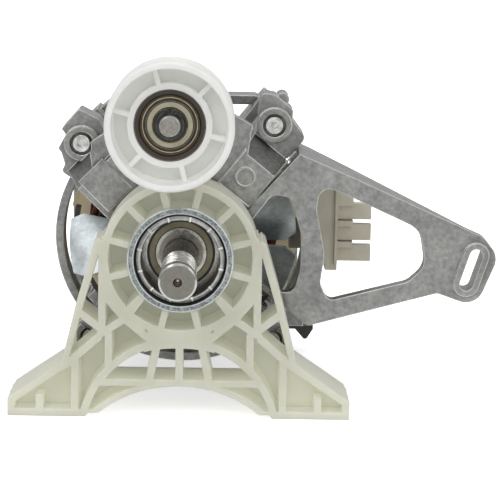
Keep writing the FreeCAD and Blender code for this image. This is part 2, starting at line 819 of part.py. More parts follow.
def slot_shape(width, length, start, end):
    """A round-ended bar at the arm's slot, tilted with it."""
    half = (length - width) / 2
    shape = join([box(-width / 2, width / 2, start, end, -half, half),
                  tube(width / 2, 0, start, end, 0, half), tube(width / 2, 0, start, end, 0, -half)])
    shape = spin(shape, -slot_tilt)
    shape.translate(Vector(slot_x, 0, slot_z))
    return shape


def slot_boss():
    """Thick rim round the arm's slot."""
    front = shield_front - slot_boss_proud
    return slot_shape(slot_width + 2 * slot_rim, slot_length + 2 * slot_rim, front, front + slot_boss_depth)


def front_shield():
    """One die casting: hub, four spokes, guard ring, bridge plate and tension arm."""
    pieces = [hub_casting(), bridge_plate(), arm_casting()]
    for index in range(len(corner_bolts)):
        pieces.append(shield_spoke(index))
        pieces.append(shield_post(index))
    pieces += shield_ears()
    pieces.append(tube(guard_radius, guard_inner_radius, guard_front, guard_front + guard_depth))
    body = join(pieces)
    body = body.cut(hub_bores())
    wall_start = stack_front - insulator_wall_depth - spoke_tip_wall
    body = body.cut(tube(guard_inner_radius, 0, hub_back, wall_start))
    body = body.cut(tube(stator_radius + seat_gap, 0, stack_front, stack_back))
    body = body.cut(tube(insulator_wall_radius + loose_gap, 0, wall_start, stack_front))
    body = body.cut(slot_shape(slot_width, slot_length, shield_front - slot_boss_depth,
                               shield_front + slot_boss_depth))
    pin_end = pin_boss_front + pin_in_casting
    body = body.cut(tube(wheel_bearing_bore, 0, pin_boss_front - 1, pin_end, pin_x, pin_z))
    for index in range(len(corner_bolts)):
        body = body.cut(ear_pocket(index))
    return body.fuse(shield_pads()).removeSplitter()


def shield_pads():
    """Plain raised pad on the upper left spoke; a round mark and border lines on the upper right one."""
    pad = slab([(pad_inner_radius, pad_low_side), (pad_outer_radius, pad_low_side),
                (pad_outer_radius, pad_high_side), (pad_inner_radius, pad_high_side)],
               shield_front - pad_proud, shield_front + 1)
    front = shield_front + spoke_set_backs[1]
    mark = tube(mark_radius, mark_radius - mark_wall, front - pad_proud / 2, front + 1, mark_x, mark_z)
    lines = [bar(first, last, border_width, front - border_proud, front + 1)
             for first, last in zip(border_corners, border_corners[1:])]
    return [spin(pad, spoke_angles[0]), mark] + [spin(line, spoke_angles[1]) for line in lines]


# Stator and windings

def stator_core():
    """Stack of laminations with a bore and half-closed slots."""
    stack = tube(stator_radius, stator_bore_radius, stack_front, stack_back)
    mouth = box(stator_bore_radius - 1, slot_inner_radius + 2, stack_front - 1, stack_back + 1,
                -slot_opening / 2, slot_opening / 2)
    inner_half = math.pi * slot_inner_radius / slot_count - tooth_width / 2
    outer_half = math.pi * slot_outer_radius / slot_count - tooth_width / 2
    room = slab([(slot_inner_radius, -inner_half), (slot_outer_radius, -outer_half),
                 (slot_outer_radius, outer_half), (slot_inner_radius, inner_half)],
                stack_front - 1, stack_back + 1)
    cutter = mouth.fuse(room)
    cuts = [spin(cutter, 360.0 / slot_count * index) for index in range(slot_count)]
    for side in (-1, 1):
        flat = box(-stack_flat_width / 2, stack_flat_width / 2, stack_front - 1, stack_back + 1,
                   stator_radius - stack_flat_depth, stator_radius + 1)
        cuts.append(spin(flat, 90 - side * 90))
    return stack.cut(Part.makeCompound(cuts))


def slot_bundles():
    """Wire bundles that fill the slots and reach towards the two end windings."""
    inner_half = math.pi * slot_inner_radius / slot_count - tooth_width / 2 - loose_gap
    outer_half = math.pi * slot_outer_radius / slot_count - tooth_width / 2 - loose_gap
    inner = slot_inner_radius + loose_gap
    outer = slot_outer_radius - loose_gap
    bundle = slab([(inner, -inner_half), (outer, -outer_half), (outer, outer_half), (inner, inner_half)],
                  stack_front - bundle_overhang, stack_back + bundle_overhang)
    return Part.makeCompound([spin(bundle, 360.0 / slot_count * index) for index in range(slot_count)])


def biarc(p0, t0, p1, t1):
    """Two arcs that leave p0 along t0 and meet p1 along t1."""
    chord = p1 - p0
    total = t0 + t1
    a = 2 * (t0.dot(t1) - 1)
    b = -2 * chord.dot(total)
    c = chord.dot(chord)
    if abs(a) < smallest * smallest:
        reach = -c / b
    else:
        reach = (-b - math.sqrt(b * b - 4 * a * c)) / (2 * a)
    first = p0 + t0 * reach
    second = p1 - t1 * reach
    joint = (first + second) * 0.5
    edges = []
    for start, corner, end in ((p0, first, joint), (joint, second, p1)):
        half = (corner - start).getAngle(end - corner) / 2
        middle = (start + end) * 0.5
        share = math.cos(half) / (1 + math.cos(half))
        edges.append(Part.Arc(start, middle + (corner - middle) * share, end).toShape())
    return edges


def winding_path(turn, y_base, y_step):
    """Point of the end winding's wire at a turn count: it spirals in and out, layer by layer."""
    per_layer = winding_turns_per_layer
    layer = min(int(turn / per_layer), winding_layers - 1)
    within = turn - layer * per_layer
    inward = within if layer % 2 == 0 else per_layer - within
    outer = winding_inner_radius + per_layer * winding_pitch
    radius = outer - inward * winding_pitch
    climb = 0.0
    if within > per_layer - 0.5 and layer < winding_layers - 1:
        climb = within - per_layer + 0.5
    if within < 0.5 and layer > 0:
        climb = within - 0.5
    x, z = polar(radius, 360.0 * turn + winding_start_angle)
    return Vector(x, y_base + y_step * (layer + climb), z)


def lead_points(angle, bend_angle, y_layer, away, plate_y):
    """The bend between a layer of turns and a straight lead that meets the end plate squarely."""
    x, z = polar(lead_radius, angle)
    tangent_x, tangent_z = polar(1.0, angle + 90)
    lead_x, lead_z = polar(lead_radius, angle + bend_angle)
    knee = Vector(lead_x, y_layer - away * lead_bend, lead_z)
    end = Vector(lead_x, plate_y, lead_z)
    return Vector(x, y_layer, z), Vector(tangent_x, 0, tangent_z), knee, end


def end_winding(plate_y, away):
    """Loops of one unbroken bundle of wire, laid in layers, with both leads at the end plate."""
    quarters = quarters_per_turn * winding_turns_per_layer * winding_layers
    turns = winding_turns_per_layer * winding_layers
    y_base = plate_y + away * (lead_bend + winding_wire)
    y_step = away * winding_pitch
    points = []
    for index in range(quarters + 1):
        turn = index / quarters_per_turn
        low = winding_path(max(turn - tangent_step, 0), y_base, y_step)
        high = winding_path(min(turn + tangent_step, turns), y_base, y_step)
        points.append((winding_path(turn, y_base, y_step), (high - low).normalize()))
    bend_angle = math.degrees(lead_bend / lead_radius)
    outward = Vector(0, away, 0)
    first, first_run, knee, start = lead_points(winding_start_angle - 90, -bend_angle, y_base, away, plate_y)
    points = [(knee, outward), (first, first_run)] + points
    y_last = y_base + y_step * (winding_layers - 1)
    last, last_run, last_knee, end = lead_points(winding_start_angle + 90, bend_angle, y_last, away, plate_y)
    points += [(last, last_run), (last_knee, outward * -1)]
    edges = [Part.LineSegment(start, knee).toShape()]
    for (p0, t0), (p1, t1) in zip(points, points[1:]):
        edges += biarc(p0, t0, p1, t1)
    edges.append(Part.LineSegment(last_knee, end).toShape())
    wire = Part.Wire(edges)
    section = Part.Wire([Part.makeCircle(winding_wire / 2, start, outward)])
    print("winding least gap", round(least_gap(wire), 2), "mm")
    return wire.makePipeShell([section], True, False)


def least_gap(wire):
    """Least gap of a wound tube to itself, measured on points more than half a turn apart."""
    samples = wire.discretize(Number=gap_samples)
    half_turn = math.pi * winding_inner_radius
    spacing = wire.Length / (len(samples) - 1)
    skip = int(half_turn / spacing)
    least = wire.Length
    for index, here in enumerate(samples):
        for other in samples[index + skip:]:
            least = min(least, here.distanceToPoint(other))
    return least - winding_wire


def front_end_plate():
    """Plastic end plate on the stack's front, with a low wall that is open at the lower left."""
    wall_start = stack_front - insulator_wall_depth
    outer = insulator_wall_radius
    plate = tube(outer, insulator_inner_radius, stack_front - insulator_thickness, stack_front)
    wall = tube(outer, outer - insulator_wall, wall_start, stack_front)
    reach = [polar(outer * 2, angle) for angle in insulator_gap_angles]
    gap = slab([(0, 0)] + reach, wall_start - 1, stack_front + 1)
    gap = gap.cut(tube(stator_radius - spoke_tip_wall, 0, wall_start - 1, stack_front + 1))
    return plate.fuse(wall).cut(gap).removeSplitter()


def rear_end_plate():
    """Plastic end plate on the stack's back, with a low wall outside the winding."""
    outer = rear_insulator_radius
    plate = tube(outer, insulator_inner_radius, stack_back, stack_back + insulator_thickness)
    wall = tube(outer, outer - insulator_wall, stack_back, stack_back + insulator_wall_depth)
    return plate.fuse(wall).removeSplitter()


# Terminal block

def terminal_block():
    """Connector housing with three cells open to the right, clipped over the end plate's wall."""
    y0 = block_front
    y1 = block_front + block_depth
    right = block_plate_right
    plate = box(block_left, right, y0, y1, block_bottom, block_top)
    tab = box(right - block_tab_width, right, y0, y1, block_bottom - block_tab_drop, block_bottom)
    rib = box(right - block_rib_width, right, y0 - block_rib_proud, y0 + 1, block_bottom, block_top)
    foot = box(insulator_wall_radius - block_foot_reach, block_left + 1,
               stack_front - insulator_wall_depth - insulator_wall, stack_front - insulator_thickness,
               -block_foot_half, block_foot_half)
    body = [plate, tab, rib, foot]
    cells = []
    half = block_cell_height / 2
    blade_half = blade_thickness / 2
    blade_room = (blade_width + seat_gap) / 2
    cell_start = right + block_cell_floor
    front = y0 + block_cell_set_back
    back = front + block_cell_depth
    for middle, rise in zip(cell_middles(), block_ledge_rises):
        top = middle + half
        body.append(box(right - 1, block_right, front, back, middle - half, top))
        body.append(box(right - 1, right + block_ledge_width, y0, back, top - block_ledge_drop, top + rise))
        cells.append(box(cell_start, block_right + 1, front + block_cell_wall, back - block_cell_wall,
                         middle - half + block_cell_wall, top - block_cell_wall))
        cells.append(box(block_left + blade_set_in, cell_start + 1, blade_y() - blade_half,
                         blade_y() + blade_half, middle - blade_room, middle + blade_room))
    return join(body).cut(Part.makeCompound(cells)).cut(end_plate_wall_room()).removeSplitter()


def end_plate_wall_room():
    """Room in the terminal block's foot for the wall of the front end plate."""
    return tube(insulator_wall_radius, insulator_wall_radius - insulator_wall,
                stack_front - insulator_wall_depth, stack_front)


def cell_middles():
    """Height of the middle of each cell, from the top down."""
    top = block_cell_top - block_cell_height / 2
    return [top - index * block_cell_pitch for index in range(block_cell_count)]


def blade_y():
    """Mid-plane of the terminal blades."""
    return block_front + block_cell_set_back + block_cell_depth / 2


def terminal_blades():
    """Flat tinned blades pushed into the block, one in each cell."""
    half = blade_width / 2
    thick = blade_thickness / 2
    start = block_left + blade_set_in
    end = block_right - blade_set_back
    blades = [box(start, end, blade_y() - thick, blade_y() + thick, middle - half, middle + half)
              for middle in cell_middles()]
    return Part.makeCompound(blades)


# Rear shield

def rear_outline(half_width, half_height, flat_half, side_half, corner):
    """Eight-sided outline of the rear shield's frame."""
    quarter = [(flat_half, half_height), (half_width, side_half)]
    right = quarter + [(x, -z) for x, z in reversed(quarter)]
    return [(x, z, corner) for x, z in right + [(-x, -z) for x, z in right]]


def rear_shield():
    """One die casting: frame with a flat top, four ears, spokes and the rear hub."""
    y0 = rear_frame_front
    y1 = rear_frame_front + rear_frame_depth
    w = rear_half_width
    h = rear_half_height
    top = rear_flat_half_width
    side = rear_side_half_height
    wall = rear_frame_wall
    frame = rounded_slab(rear_outline(w, h, top, side, rear_corner_radius), y0, y1)
    inside = rear_outline(w - wall, h - wall, top - 2, side - 2, rear_corner_radius - 2)
    room = rounded_slab(inside, y0 - 1, y1 + 1)
    pieces = [frame.cut(room)]
    plate_end = rear_plate_front + rear_plate_thickness
    pieces.append(tube(rear_hub_radius, 0, rear_bearing_y - rear_lip, rear_hub_back))
    pieces.append(tube(rear_hub_radius + rear_flange_width, 0, rear_plate_front, plate_end))
    bowl = rear_bowl_radius
    seat_start = y0 - rear_seat_overlap
    for x, z in corner_bolts:
        angle = math.degrees(math.atan2(z, x))
        reach = math.hypot(x, z) + rear_ear_margin
        rib_side = [(rear_root_radius, rear_plate_front), (bowl - rear_lip, rear_plate_front), (bowl, y1 - 3),
                    (bowl, seat_start), (reach, seat_start), (reach, y1 + 2), (bowl + rear_lip, plate_end),
                    (rear_root_radius, plate_end)]
        corners = [Vector(radius, y, -rear_rib_width / 2) for radius, y in rib_side]
        rib = Part.Face(Part.makePolygon(corners + [corners[0]])).extrude(Vector(0, 0, rear_rib_width))
        pieces.append(spin(rib, angle))
    pieces.append(box(top, clip_x + 2, y0, y0 + clip_pad_depth, clip_top, -side))
    body = join(pieces)
    body = body.cut(tube(stator_radius + seat_gap, 0, seat_start - 1, stack_back))
    body = body.cut(tube(bowl, 0, stack_back, y1 - rear_lip))
    body = body.cut(tube(rear_bearing_radius, 0, rear_bearing_y - rear_lip - 1, rear_race_back))
    body = body.cut(tube(rear_bearing_radius - rear_lip, 0, rear_race_back - 1, rear_hub_back + 1))
    for x, z in corner_bolts:
        body = body.cut(tube(tie_bolt_radius, 0, seat_start - 1, y1 - rear_lip, x, z))
    return body.cut(clip_peg()).removeSplitter()


def tie_bolts():
    """Four long screws that clamp the stack between the two shields."""
    bolts = []
    for x, z in corner_bolts:
        seat = ear_front + head_seat_depth
        top = seat - tie_head_height
        head = tube(tie_head_radius, 0, top, seat, x, z)
        shank = tube(tie_bolt_radius, 0, seat, rear_frame_front + rear_frame_depth - bolt_end_setback, x, z)
        drive = tube(tie_drive_radius, 0, top - 1, top + 2, x, z)
        bolts.append(head.fuse(shank).cut(drive).removeSplitter())
    return Part.makeCompound(bolts)


def clip_peg():
    """Peg of the wire clip, up into the rear shield."""
    return Part.makeCylinder(clip_peg_radius, clip_peg_length, Vector(clip_x - 1, clip_y(), clip_top))


def clip_y():
    """Mid-plane of the wire clip."""
    return rear_frame_front + 1 + clip_depth / 2


def wire_clip():
    """Black plastic hook for the leads, pegged up into the rear shield's corner."""
    top = clip_top
    bar = top - clip_bar_wall
    low = bar - clip_drop
    start = clip_y() - clip_depth / 2
    end = clip_y() + clip_depth / 2
    loop_x = clip_x + clip_loop_x
    leg_x = clip_x + clip_leg_x
    hook_left = clip_x + clip_hook_left
    bar_right = clip_x + clip_bar_right
    hook_right = clip_x + clip_hook_right
    hook_root = clip_x - clip_hook_left
    body = rounded_slab([(leg_x, top, 0), (bar_right, top, 0), (bar_right, bar, 1), (hook_right, low, 1),
                         (hook_left, low, 0.5), (hook_root, bar, 1), (loop_x, bar, 0), (loop_x, low, 0),
                         (leg_x, low, 0.5)], start, end)
    loop = tube(clip_loop_radius, 0, start - 1, end + 1, loop_x, top - clip_loop_wall - clip_loop_radius)
    return body.cut(loop).fuse(clip_peg()).removeSplitter()


# Bearings

class Bearing:
    """One ball bearing: its sizes, where it sits, and its five pieces."""

    def __init__(self, bore, radius, width, ball_radius, ball_count, start, x=0.0, z=0.0):
        self.bore = bore
        self.radius = radius
        self.width = width
        self.ball_radius = ball_radius
        self.ball_count = ball_count
        self.start = start
        self.middle = start + width / 2
        self.x = x
        self.z = z
        self.circle = (bore + radius) / 2 + ball_circle_offset

    def land(self, side):
        """Radius of the plain land beside the ball groove: side 1 on the outer ring, -1 on the inner."""
        return self.circle + side * self.ball_radius * race_land_share

    def ring(self, outer, inner):
        """Ring as wide as the bearing, with the room for the balls cut out."""
        centre = Vector(self.x, self.middle, self.z)
        groove = Part.makeTorus(self.circle, self.ball_radius + running_gap, centre, Vector(0, 1, 0))
        return tube(outer, inner, self.start, self.start + self.width, self.x, self.z).cut(groove)

    def outer_ring(self):
        """Outer ring with its ball groove."""
        return self.ring(self.radius, self.land(1))

    def inner_ring(self):
        """Inner ring with its ball groove."""
        return self.ring(self.land(-1), self.bore)

    def ball_centres(self):
        """Centres of the balls, evenly spaced."""
        around = [polar(self.circle, 360.0 / self.ball_count * index) for index in range(self.ball_count)]
        return [Vector(self.x + x, self.middle, self.z + z) for x, z in around]

    def balls(self):
        """The steel balls."""
        spheres = [Part.makeSphere(self.ball_radius, centre) for centre in self.ball_centres()]
        return Part.makeCompound(spheres)

    def cage(self):
        """Cage ring with a round pocket for each ball."""
        half = self.ball_radius + cage_edge
        ring = tube(self.circle + cage_wall / 2, self.circle - cage_wall / 2, self.middle - half,
                    self.middle + half, self.x, self.z)
        axis = Vector(self.x, self.middle, self.z)
        pocket_radius = self.ball_radius + seat_gap
        for centre in self.ball_centres():
            outward = (centre - axis).normalize()
            start = centre - outward * cage_wall
            ring = ring.cut(Part.makeCylinder(pocket_radius, cage_wall * 2, start, outward))
        return ring

    def seals(self):
        """Two seals held in the outer ring, just clear of the inner ring."""
        inner = self.land(-1) + loose_gap
        front_start = self.start + seal_set_back
        back_start = self.start + self.width - seal_set_back - seal_thickness
        seals = [tube(self.land(1), inner, start, start + seal_thickness, self.x, self.z)
                 for start in (front_start, back_start)]
        return Part.makeCompound(seals)

    def save_pieces(self, name):
        """Write the five pieces."""
        save(name + "_outer", self.outer_ring())
        save(name + "_inner", self.inner_ring())
        save(name + "_balls", self.balls())
        save(name + "_cage", self.cage())
        save(name + "_seals", self.seals())


# Rotor

def shaft():
    """Ground shaft: belt grooves at the front, seats for bearings, core and blower."""
    profile = [(0, -shaft_nose), (nose_collar_radius - nose_bevel, -shaft_nose),
               (nose_collar_radius, -shaft_nose + nose_bevel), (nose_collar_radius, belt_start)]
    slope = belt_pitch * groove_slope_share
    floor = belt_pitch * groove_floor_share
    for index in range(belt_groove_count):
        y = belt_start + belt_land + index * belt_pitch
        profile += [(belt_crest_radius, y), (belt_root_radius, y + slope),
                    (belt_root_radius, y + slope + floor), (belt_crest_radius, y + 2 * slope + floor)]
    seat_radius = front_bearing_bore
    seat_start = front_bearing_y - spring_ring_thickness - bearing_seat_lead
    neck_start = seat_start - bearing_seat_lead
    profile += [(belt_crest_radius, neck_start), (seat_radius - bearing_seat_step, neck_start),
                (seat_radius, neck_start + 1), (seat_radius, front_race_back),
                (rotor_seat_radius, front_race_back)]
    rear_seat_start = rear_bearing_y - rear_seat_lead
    tail_start = rear_race_back + tail_shoulder
    groove_start = shaft_tail - tail_groove_setback
    groove_end = groove_start + tail_groove_width
    profile += [(rotor_seat_radius, rear_seat_start), (rear_bearing_bore, rear_seat_start),
                (rear_bearing_bore, tail_start), (tail_radius, tail_start),
                (tail_radius, groove_start), (tail_groove_radius, groove_start),
                (tail_groove_radius, groove_end), (tail_radius, groove_end),
                (tail_radius, shaft_tail - tail_bevel), (tail_radius - tail_bevel, shaft_tail),
                (0, shaft_tail)]
    body = turned(profile)
    drill = cone(centre_drill_radius, centre_drill_tip_radius, -shaft_nose, -shaft_nose + centre_drill_depth)
    groove_y = front_bearing_y - spring_ring_thickness - seat_gap
    groove = tube(seat_radius + 1, seat_radius - retainer_groove_depth, groove_y,
                  groove_y + spring_ring_thickness + seat_gap)
    flat = box(-tail_radius, tail_radius, shaft_tail - tail_flat_length, groove_start - 1,
               tail_radius - tail_flat_depth, tail_radius + 1)
    return body.cut(drill).cut(groove).cut(flat)


def spring_ring(inner, outer, y0, x=0.0, z=0.0):
    """Open retaining ring with two eyes at its gap."""
    y1 = y0 + spring_ring_thickness
    eye = (outer - inner) * spring_eye_share
    middle = outer - eye
    spread = math.degrees((eye + spring_gap) / middle)
    eyes = [polar(middle, 90 + side * spread) for side in (-1, 1)]
    ring = join([tube(outer - spring_ring_wall, inner, y0, y1, x, z)]
                + [tube(eye, 0, y0, y1, x + eye_x, z + eye_z) for eye_x, eye_z in eyes])
    for eye_x, eye_z in eyes:
        ring = ring.cut(tube(eye / 2, 0, y0 - 1, y1 + 1, x + eye_x, z + eye_z))
    return ring.cut(box(x - spring_gap, x + spring_gap, y0 - 1, y1 + 1, z, z + outer + 2))


def rotor_core():
    """Stack of rotor laminations pressed on the shaft."""
    return tube(stator_bore_radius - air_gap, rotor_seat_radius, stack_front, stack_back)


def rotor_cage():
    """Two cast aluminium end rings, each with short cooling fins."""
    outer = stator_bore_radius - air_gap - cage_ring_inset
    inner = outer - cage_ring_width
    rings = []
    front_start = stack_front - cage_ring_length
    back_end = stack_back + cage_ring_length
    for start, fin_start in ((front_start, front_start - cage_fin_length), (stack_back, back_end)):
        pieces = [tube(outer, inner, start, start + cage_ring_length)]
        for index in range(cage_fin_count):
            fin = box(inner + 1, outer - 1, fin_start, fin_start + cage_fin_length,
                      -cage_fin_width / 2, cage_fin_width / 2)
            pieces.append(spin(fin, 360.0 / cage_fin_count * index))
        rings.append(join(pieces))
    return Part.makeCompound(rings)


def fan():
    """Pressed sheet fan: a flat disc with seven pitched blades, set unevenly so that it doesn't whine."""
    y0 = fan_y
    pieces = [tube(fan_disc_radius, fan_hub_radius - fan_hub_rim, y0, y0 + fan_sheet)]
    half = fan_radius * math.tan(math.radians(fan_blade_spread / 2))
    side = [(blade_root_radius, blade_root_half), (blade_neck_radius, half * blade_neck_share),
            (fan_radius - blade_shoulder_set_in, half),
            (fan_radius + blade_root_half, half * blade_tip_share)]
    outline = [(x, -z) for x, z in side] + list(reversed(side))
    swing = fan_radius
    room = tube(fan_radius, blade_root_radius - 1, y0 - swing, y0 + swing)
    for angle in fan_blade_angles:
        blade = slab(outline, y0, y0 + fan_sheet)
        blade.rotate(Vector(0, y0 + fan_sheet / 2, 0), Vector(1, 0, 0), fan_blade_pitch)
        blade = blade.common(room)
        pieces.append(spin(blade, angle))
    return join(pieces)


def fan_hub():
    """Turned boss that is pressed on the shaft and riveted to the fan."""
    y0 = fan_y + fan_sheet
    body = join([tube(fan_hub_radius, rotor_seat_radius, y0, y0 + fan_hub_length),
                 tube(fan_hub_radius - fan_hub_rim, rotor_seat_radius, y0 - fan_sheet - 1, y0)])
    return body


# Idler wheel

def idler_wheel():
    """White plastic wheel: two flanges, belt track, recessed web with six ribs and a hub."""
    y0 = wheel_front
    y1 = wheel_back
    step = wheel_flange_radius - wheel_track_radius
    rim = turned([(wheel_rim_inner_radius, y0), (wheel_flange_radius - 1, y0), (wheel_flange_radius, y0 + 1),
                  (wheel_flange_radius, y0 + wheel_flange_width),
                  (wheel_track_radius, y0 + wheel_flange_width + step),
                  (wheel_track_radius, y1 - wheel_flange_width - step),
                  (wheel_flange_radius, y1 - wheel_flange_width), (wheel_flange_radius, y1 - 1),
                  (wheel_flange_radius - 1, y1), (wheel_rim_inner_radius - wheel_back_bevel, y1)],
                 pin_x, pin_z)
    hub = tube(wheel_hub_outer_radius, 0, y0 + wheel_hub_recess, y1, pin_x, pin_z)
    web_y = (y0 + y1) / 2
    rim_reach = (wheel_rim_inner_radius + wheel_track_radius) / 2
    web = tube(rim_reach, 0, web_y, web_y + wheel_web, pin_x, pin_z)
    pieces = [rim, hub, web]
    for index in range(wheel_rib_count):
        rib = box(wheel_hub_bore_radius + 1, rim_reach, y0 + wheel_hub_recess, y1 - wheel_rib_set_in,
                  -wheel_rib / 2, wheel_rib / 2)
        rib = spin(rib, wheel_rib_first_angle + 360.0 / wheel_rib_count * index)
        rib.translate(Vector(pin_x, 0, pin_z))
        pieces.append(rib)
    body = join(pieces)
    return body.cut(tube(wheel_hub_bore_radius, 0, y0 - 1, y1 + 1, pin_x, pin_z)).removeSplitter()


def wheel_sleeve():
    """Dark steel sleeve moulded into the hub, bored for the bearing."""
    y0 = wheel_front + wheel_hub_recess + sleeve_front_inset
    y1 = y0 + sleeve_length
    lip_radius = wheel_bearing_radius - sleeve_lip
    race_back = wheel_bearing_y + wheel_bearing_width
    return turned([(wheel_bearing_radius + sleeve_wall_step, y0), (wheel_hub_bore_radius, y0),
                   (wheel_hub_bore_radius, y1), (lip_radius, y1), (lip_radius, race_back),
                   (wheel_bearing_radius, race_back),
                   (wheel_bearing_radius, wheel_bearing_y)], pin_x, pin_z)


def wheel_pin():
    """Steel pin pressed into the front shield's boss, with a shoulder behind the bearing."""
    end = pin_boss_front + pin_in_casting
    shoulder_end = pin_boss_front
    shoulder = wheel_bearing_bore + pin_shoulder
    race_back = wheel_bearing_y + wheel_bearing_width
    radius = wheel_bearing_bore
    body = turned([(0, pin_front), (radius - pin_bevel, pin_front), (radius, pin_front + pin_bevel),
                   (radius, race_back), (shoulder, race_back), (shoulder, shoulder_end),
                   (radius, shoulder_end), (radius, end), (0, end)], pin_x, pin_z)
    y0 = wheel_bearing_y - spring_ring_thickness - seat_gap
    y1 = y0 + spring_ring_thickness + seat_gap
    groove = tube(radius + 1, radius - pin_groove_depth, y0, y1, pin_x, pin_z)
    return body.cut(groove)


# Build every piece

save("front_foot", front_foot())
save("foot_ring", foot_ring())
save("damper_ring", damper_ring())
save("star_ring", star_ring())
save("front_shield", front_shield())
save("stator_core", stator_core())
save("slot_bundles", slot_bundles())
save("front_winding", end_winding(stack_front - insulator_thickness, -1))
save("rear_winding", end_winding(stack_back + insulator_thickness, 1))
save("front_end_plate", front_end_plate())
save("rear_end_plate", rear_end_plate())
save("terminal_block", terminal_block())
save("terminal_blades", terminal_blades())
save("rear_shield", rear_shield())
save("tie_bolts", tie_bolts())
save("wire_clip", wire_clip())
save("shaft", shaft())
save("shaft_ring", spring_ring(front_bearing_bore - retainer_groove_depth + seat_gap,
                               spring_ring_outer_radius,
                               front_bearing_y - spring_ring_thickness - seat_gap / 2))
save("rotor_core", rotor_core())
save("rotor_cage", rotor_cage())
save("fan", fan())
save("fan_hub", fan_hub())
save("idler_wheel", idler_wheel())
save("wheel_sleeve", wheel_sleeve())
save("wheel_pin", wheel_pin())
save("wheel_ring", spring_ring(wheel_bearing_bore - pin_groove_depth + running_gap,
                               wheel_ring_outer_radius,
                               wheel_bearing_y - spring_ring_thickness - seat_gap / 2, pin_x, pin_z))
front_bearing = Bearing(front_bearing_bore, front_bearing_radius, front_bearing_width,
                        front_ball_radius, front_ball_count, front_bearing_y)
rear_bearing = Bearing(rear_bearing_bore, rear_bearing_radius, rear_bearing_width,
                       rear_ball_radius, rear_ball_count, rear_bearing_y)
wheel_bearing = Bearing(wheel_bearing_bore, wheel_bearing_radius, wheel_bearing_width,
                        wheel_ball_radius, wheel_ball_count, wheel_bearing_y, pin_x, pin_z)
front_bearing.save_pieces("front_bearing")
rear_bearing.save_pieces("rear_bearing")
wheel_bearing.save_pieces("wheel_bearing")
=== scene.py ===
import bpy
import math
from mathutils import Matrix, Vector


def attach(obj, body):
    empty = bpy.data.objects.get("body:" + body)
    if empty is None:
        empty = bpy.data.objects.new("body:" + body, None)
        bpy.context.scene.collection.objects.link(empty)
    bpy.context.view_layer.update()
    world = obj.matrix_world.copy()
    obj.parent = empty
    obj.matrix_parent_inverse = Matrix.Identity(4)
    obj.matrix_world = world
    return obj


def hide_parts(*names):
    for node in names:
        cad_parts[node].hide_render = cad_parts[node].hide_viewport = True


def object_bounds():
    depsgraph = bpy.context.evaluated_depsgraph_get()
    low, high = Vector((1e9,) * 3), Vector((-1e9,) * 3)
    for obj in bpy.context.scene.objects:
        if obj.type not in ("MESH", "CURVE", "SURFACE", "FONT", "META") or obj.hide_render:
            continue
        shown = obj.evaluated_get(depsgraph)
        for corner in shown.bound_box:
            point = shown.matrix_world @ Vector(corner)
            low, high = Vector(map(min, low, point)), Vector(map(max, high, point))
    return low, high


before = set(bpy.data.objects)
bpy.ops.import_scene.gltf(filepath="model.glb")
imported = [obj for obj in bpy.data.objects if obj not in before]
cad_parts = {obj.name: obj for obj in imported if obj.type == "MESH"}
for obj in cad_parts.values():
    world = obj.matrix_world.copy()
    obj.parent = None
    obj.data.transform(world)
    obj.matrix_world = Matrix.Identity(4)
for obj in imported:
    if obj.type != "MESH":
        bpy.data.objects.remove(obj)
cad_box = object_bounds()


# Front foot
# Moulded in one piece from natural nylon, off-white with a green cast and a little see-through.
# Matte, with a fine moulded grain; painted shade and dust in the pockets between the ribs, and a painted
# glow.

def add_node(tree, kind, inputs=None, **settings):
    """A shader node with its settings, and its sockets filled with values or joined to others."""
    node = tree.nodes.new(kind)
    for name, value in settings.items():
        setattr(node, name, value)
    for name, value in (inputs or {}).items():
        if isinstance(value, bpy.types.NodeSocket):
            tree.links.new(value, node.inputs[name])
        else:
            node.inputs[name].default_value = value
    return node


def new_group(name, inputs, outputs):
    """An empty node group with named inputs and outputs, and the nodes that stand for them."""
    tree = bpy.data.node_groups.new(name, "ShaderNodeTree")
    for label, kind, value in inputs:
        socket = tree.interface.new_socket(label, in_out="INPUT", socket_type="NodeSocket" + kind)
        if value is not None:
            socket.default_value = value
    for label, kind in outputs:
        tree.interface.new_socket(label, in_out="OUTPUT", socket_type="NodeSocket" + kind)
    return tree, tree.nodes.new("NodeGroupInput").outputs, tree.nodes.new("NodeGroupOutput").inputs


def use_group(tree, group, **inputs):
    """A group placed in a material, with its named sockets filled."""
    node = tree.nodes.new("ShaderNodeGroup")
    node.node_tree = group
    for name, value in inputs.items():
        if isinstance(value, bpy.types.NodeSocket):
            tree.links.new(value, node.inputs[name])
        else:
            node.inputs[name].default_value = value
    return node.outputs


def new_finish(name, metal, rough):
    """A new material: its nodes, its shader and the coordinates of the piece that wears it."""
    material = bpy.data.materials.new(name)
    material.use_nodes = True
    shader = material.node_tree.nodes["Principled BSDF"]
    shader.inputs["Metallic"].default_value = metal
    shader.inputs["Roughness"].default_value = rough
    place = material.node_tree.nodes.new("ShaderNodeTexCoord").outputs["Object"]
    return material, material.node_tree, shader, place


def colour(red, green, blue):
    """A colour as it looks on screen, 0 to 255, turned into the light that it sends back."""
    parts = []
    for part in (red, green, blue):
        part = part / 255.0
        parts.append(part / 12.92 if part <= 0.04045 else ((part + 0.055) / 1.055) ** 2.4)
    return (parts[0], parts[1], parts[2], 1.0)


def mix(tree, mask, below, above, **settings):
    """One colour laid over another where the mask is white."""
    sockets = {"Fac": mask, "Color1": below, "Color2": above}
    return add_node(tree, "ShaderNodeMixRGB", sockets, **settings).outputs[0]


def reckon(tree, operation, first, second, **settings):
    """One number worked out from two."""
    return add_node(tree, "ShaderNodeMath", {0: first, 1: second}, operation=operation, **settings).outputs[0]


def spread(tree, value, start, end, low=0.0, high=1.0):
    """A number between start and end, spread out between low and high."""
    return add_node(tree, "ShaderNodeMapRange", {"Value": value, "From Min": start, "From Max": end,
                                                 "To Min": low, "To Max": high}).outputs[0]


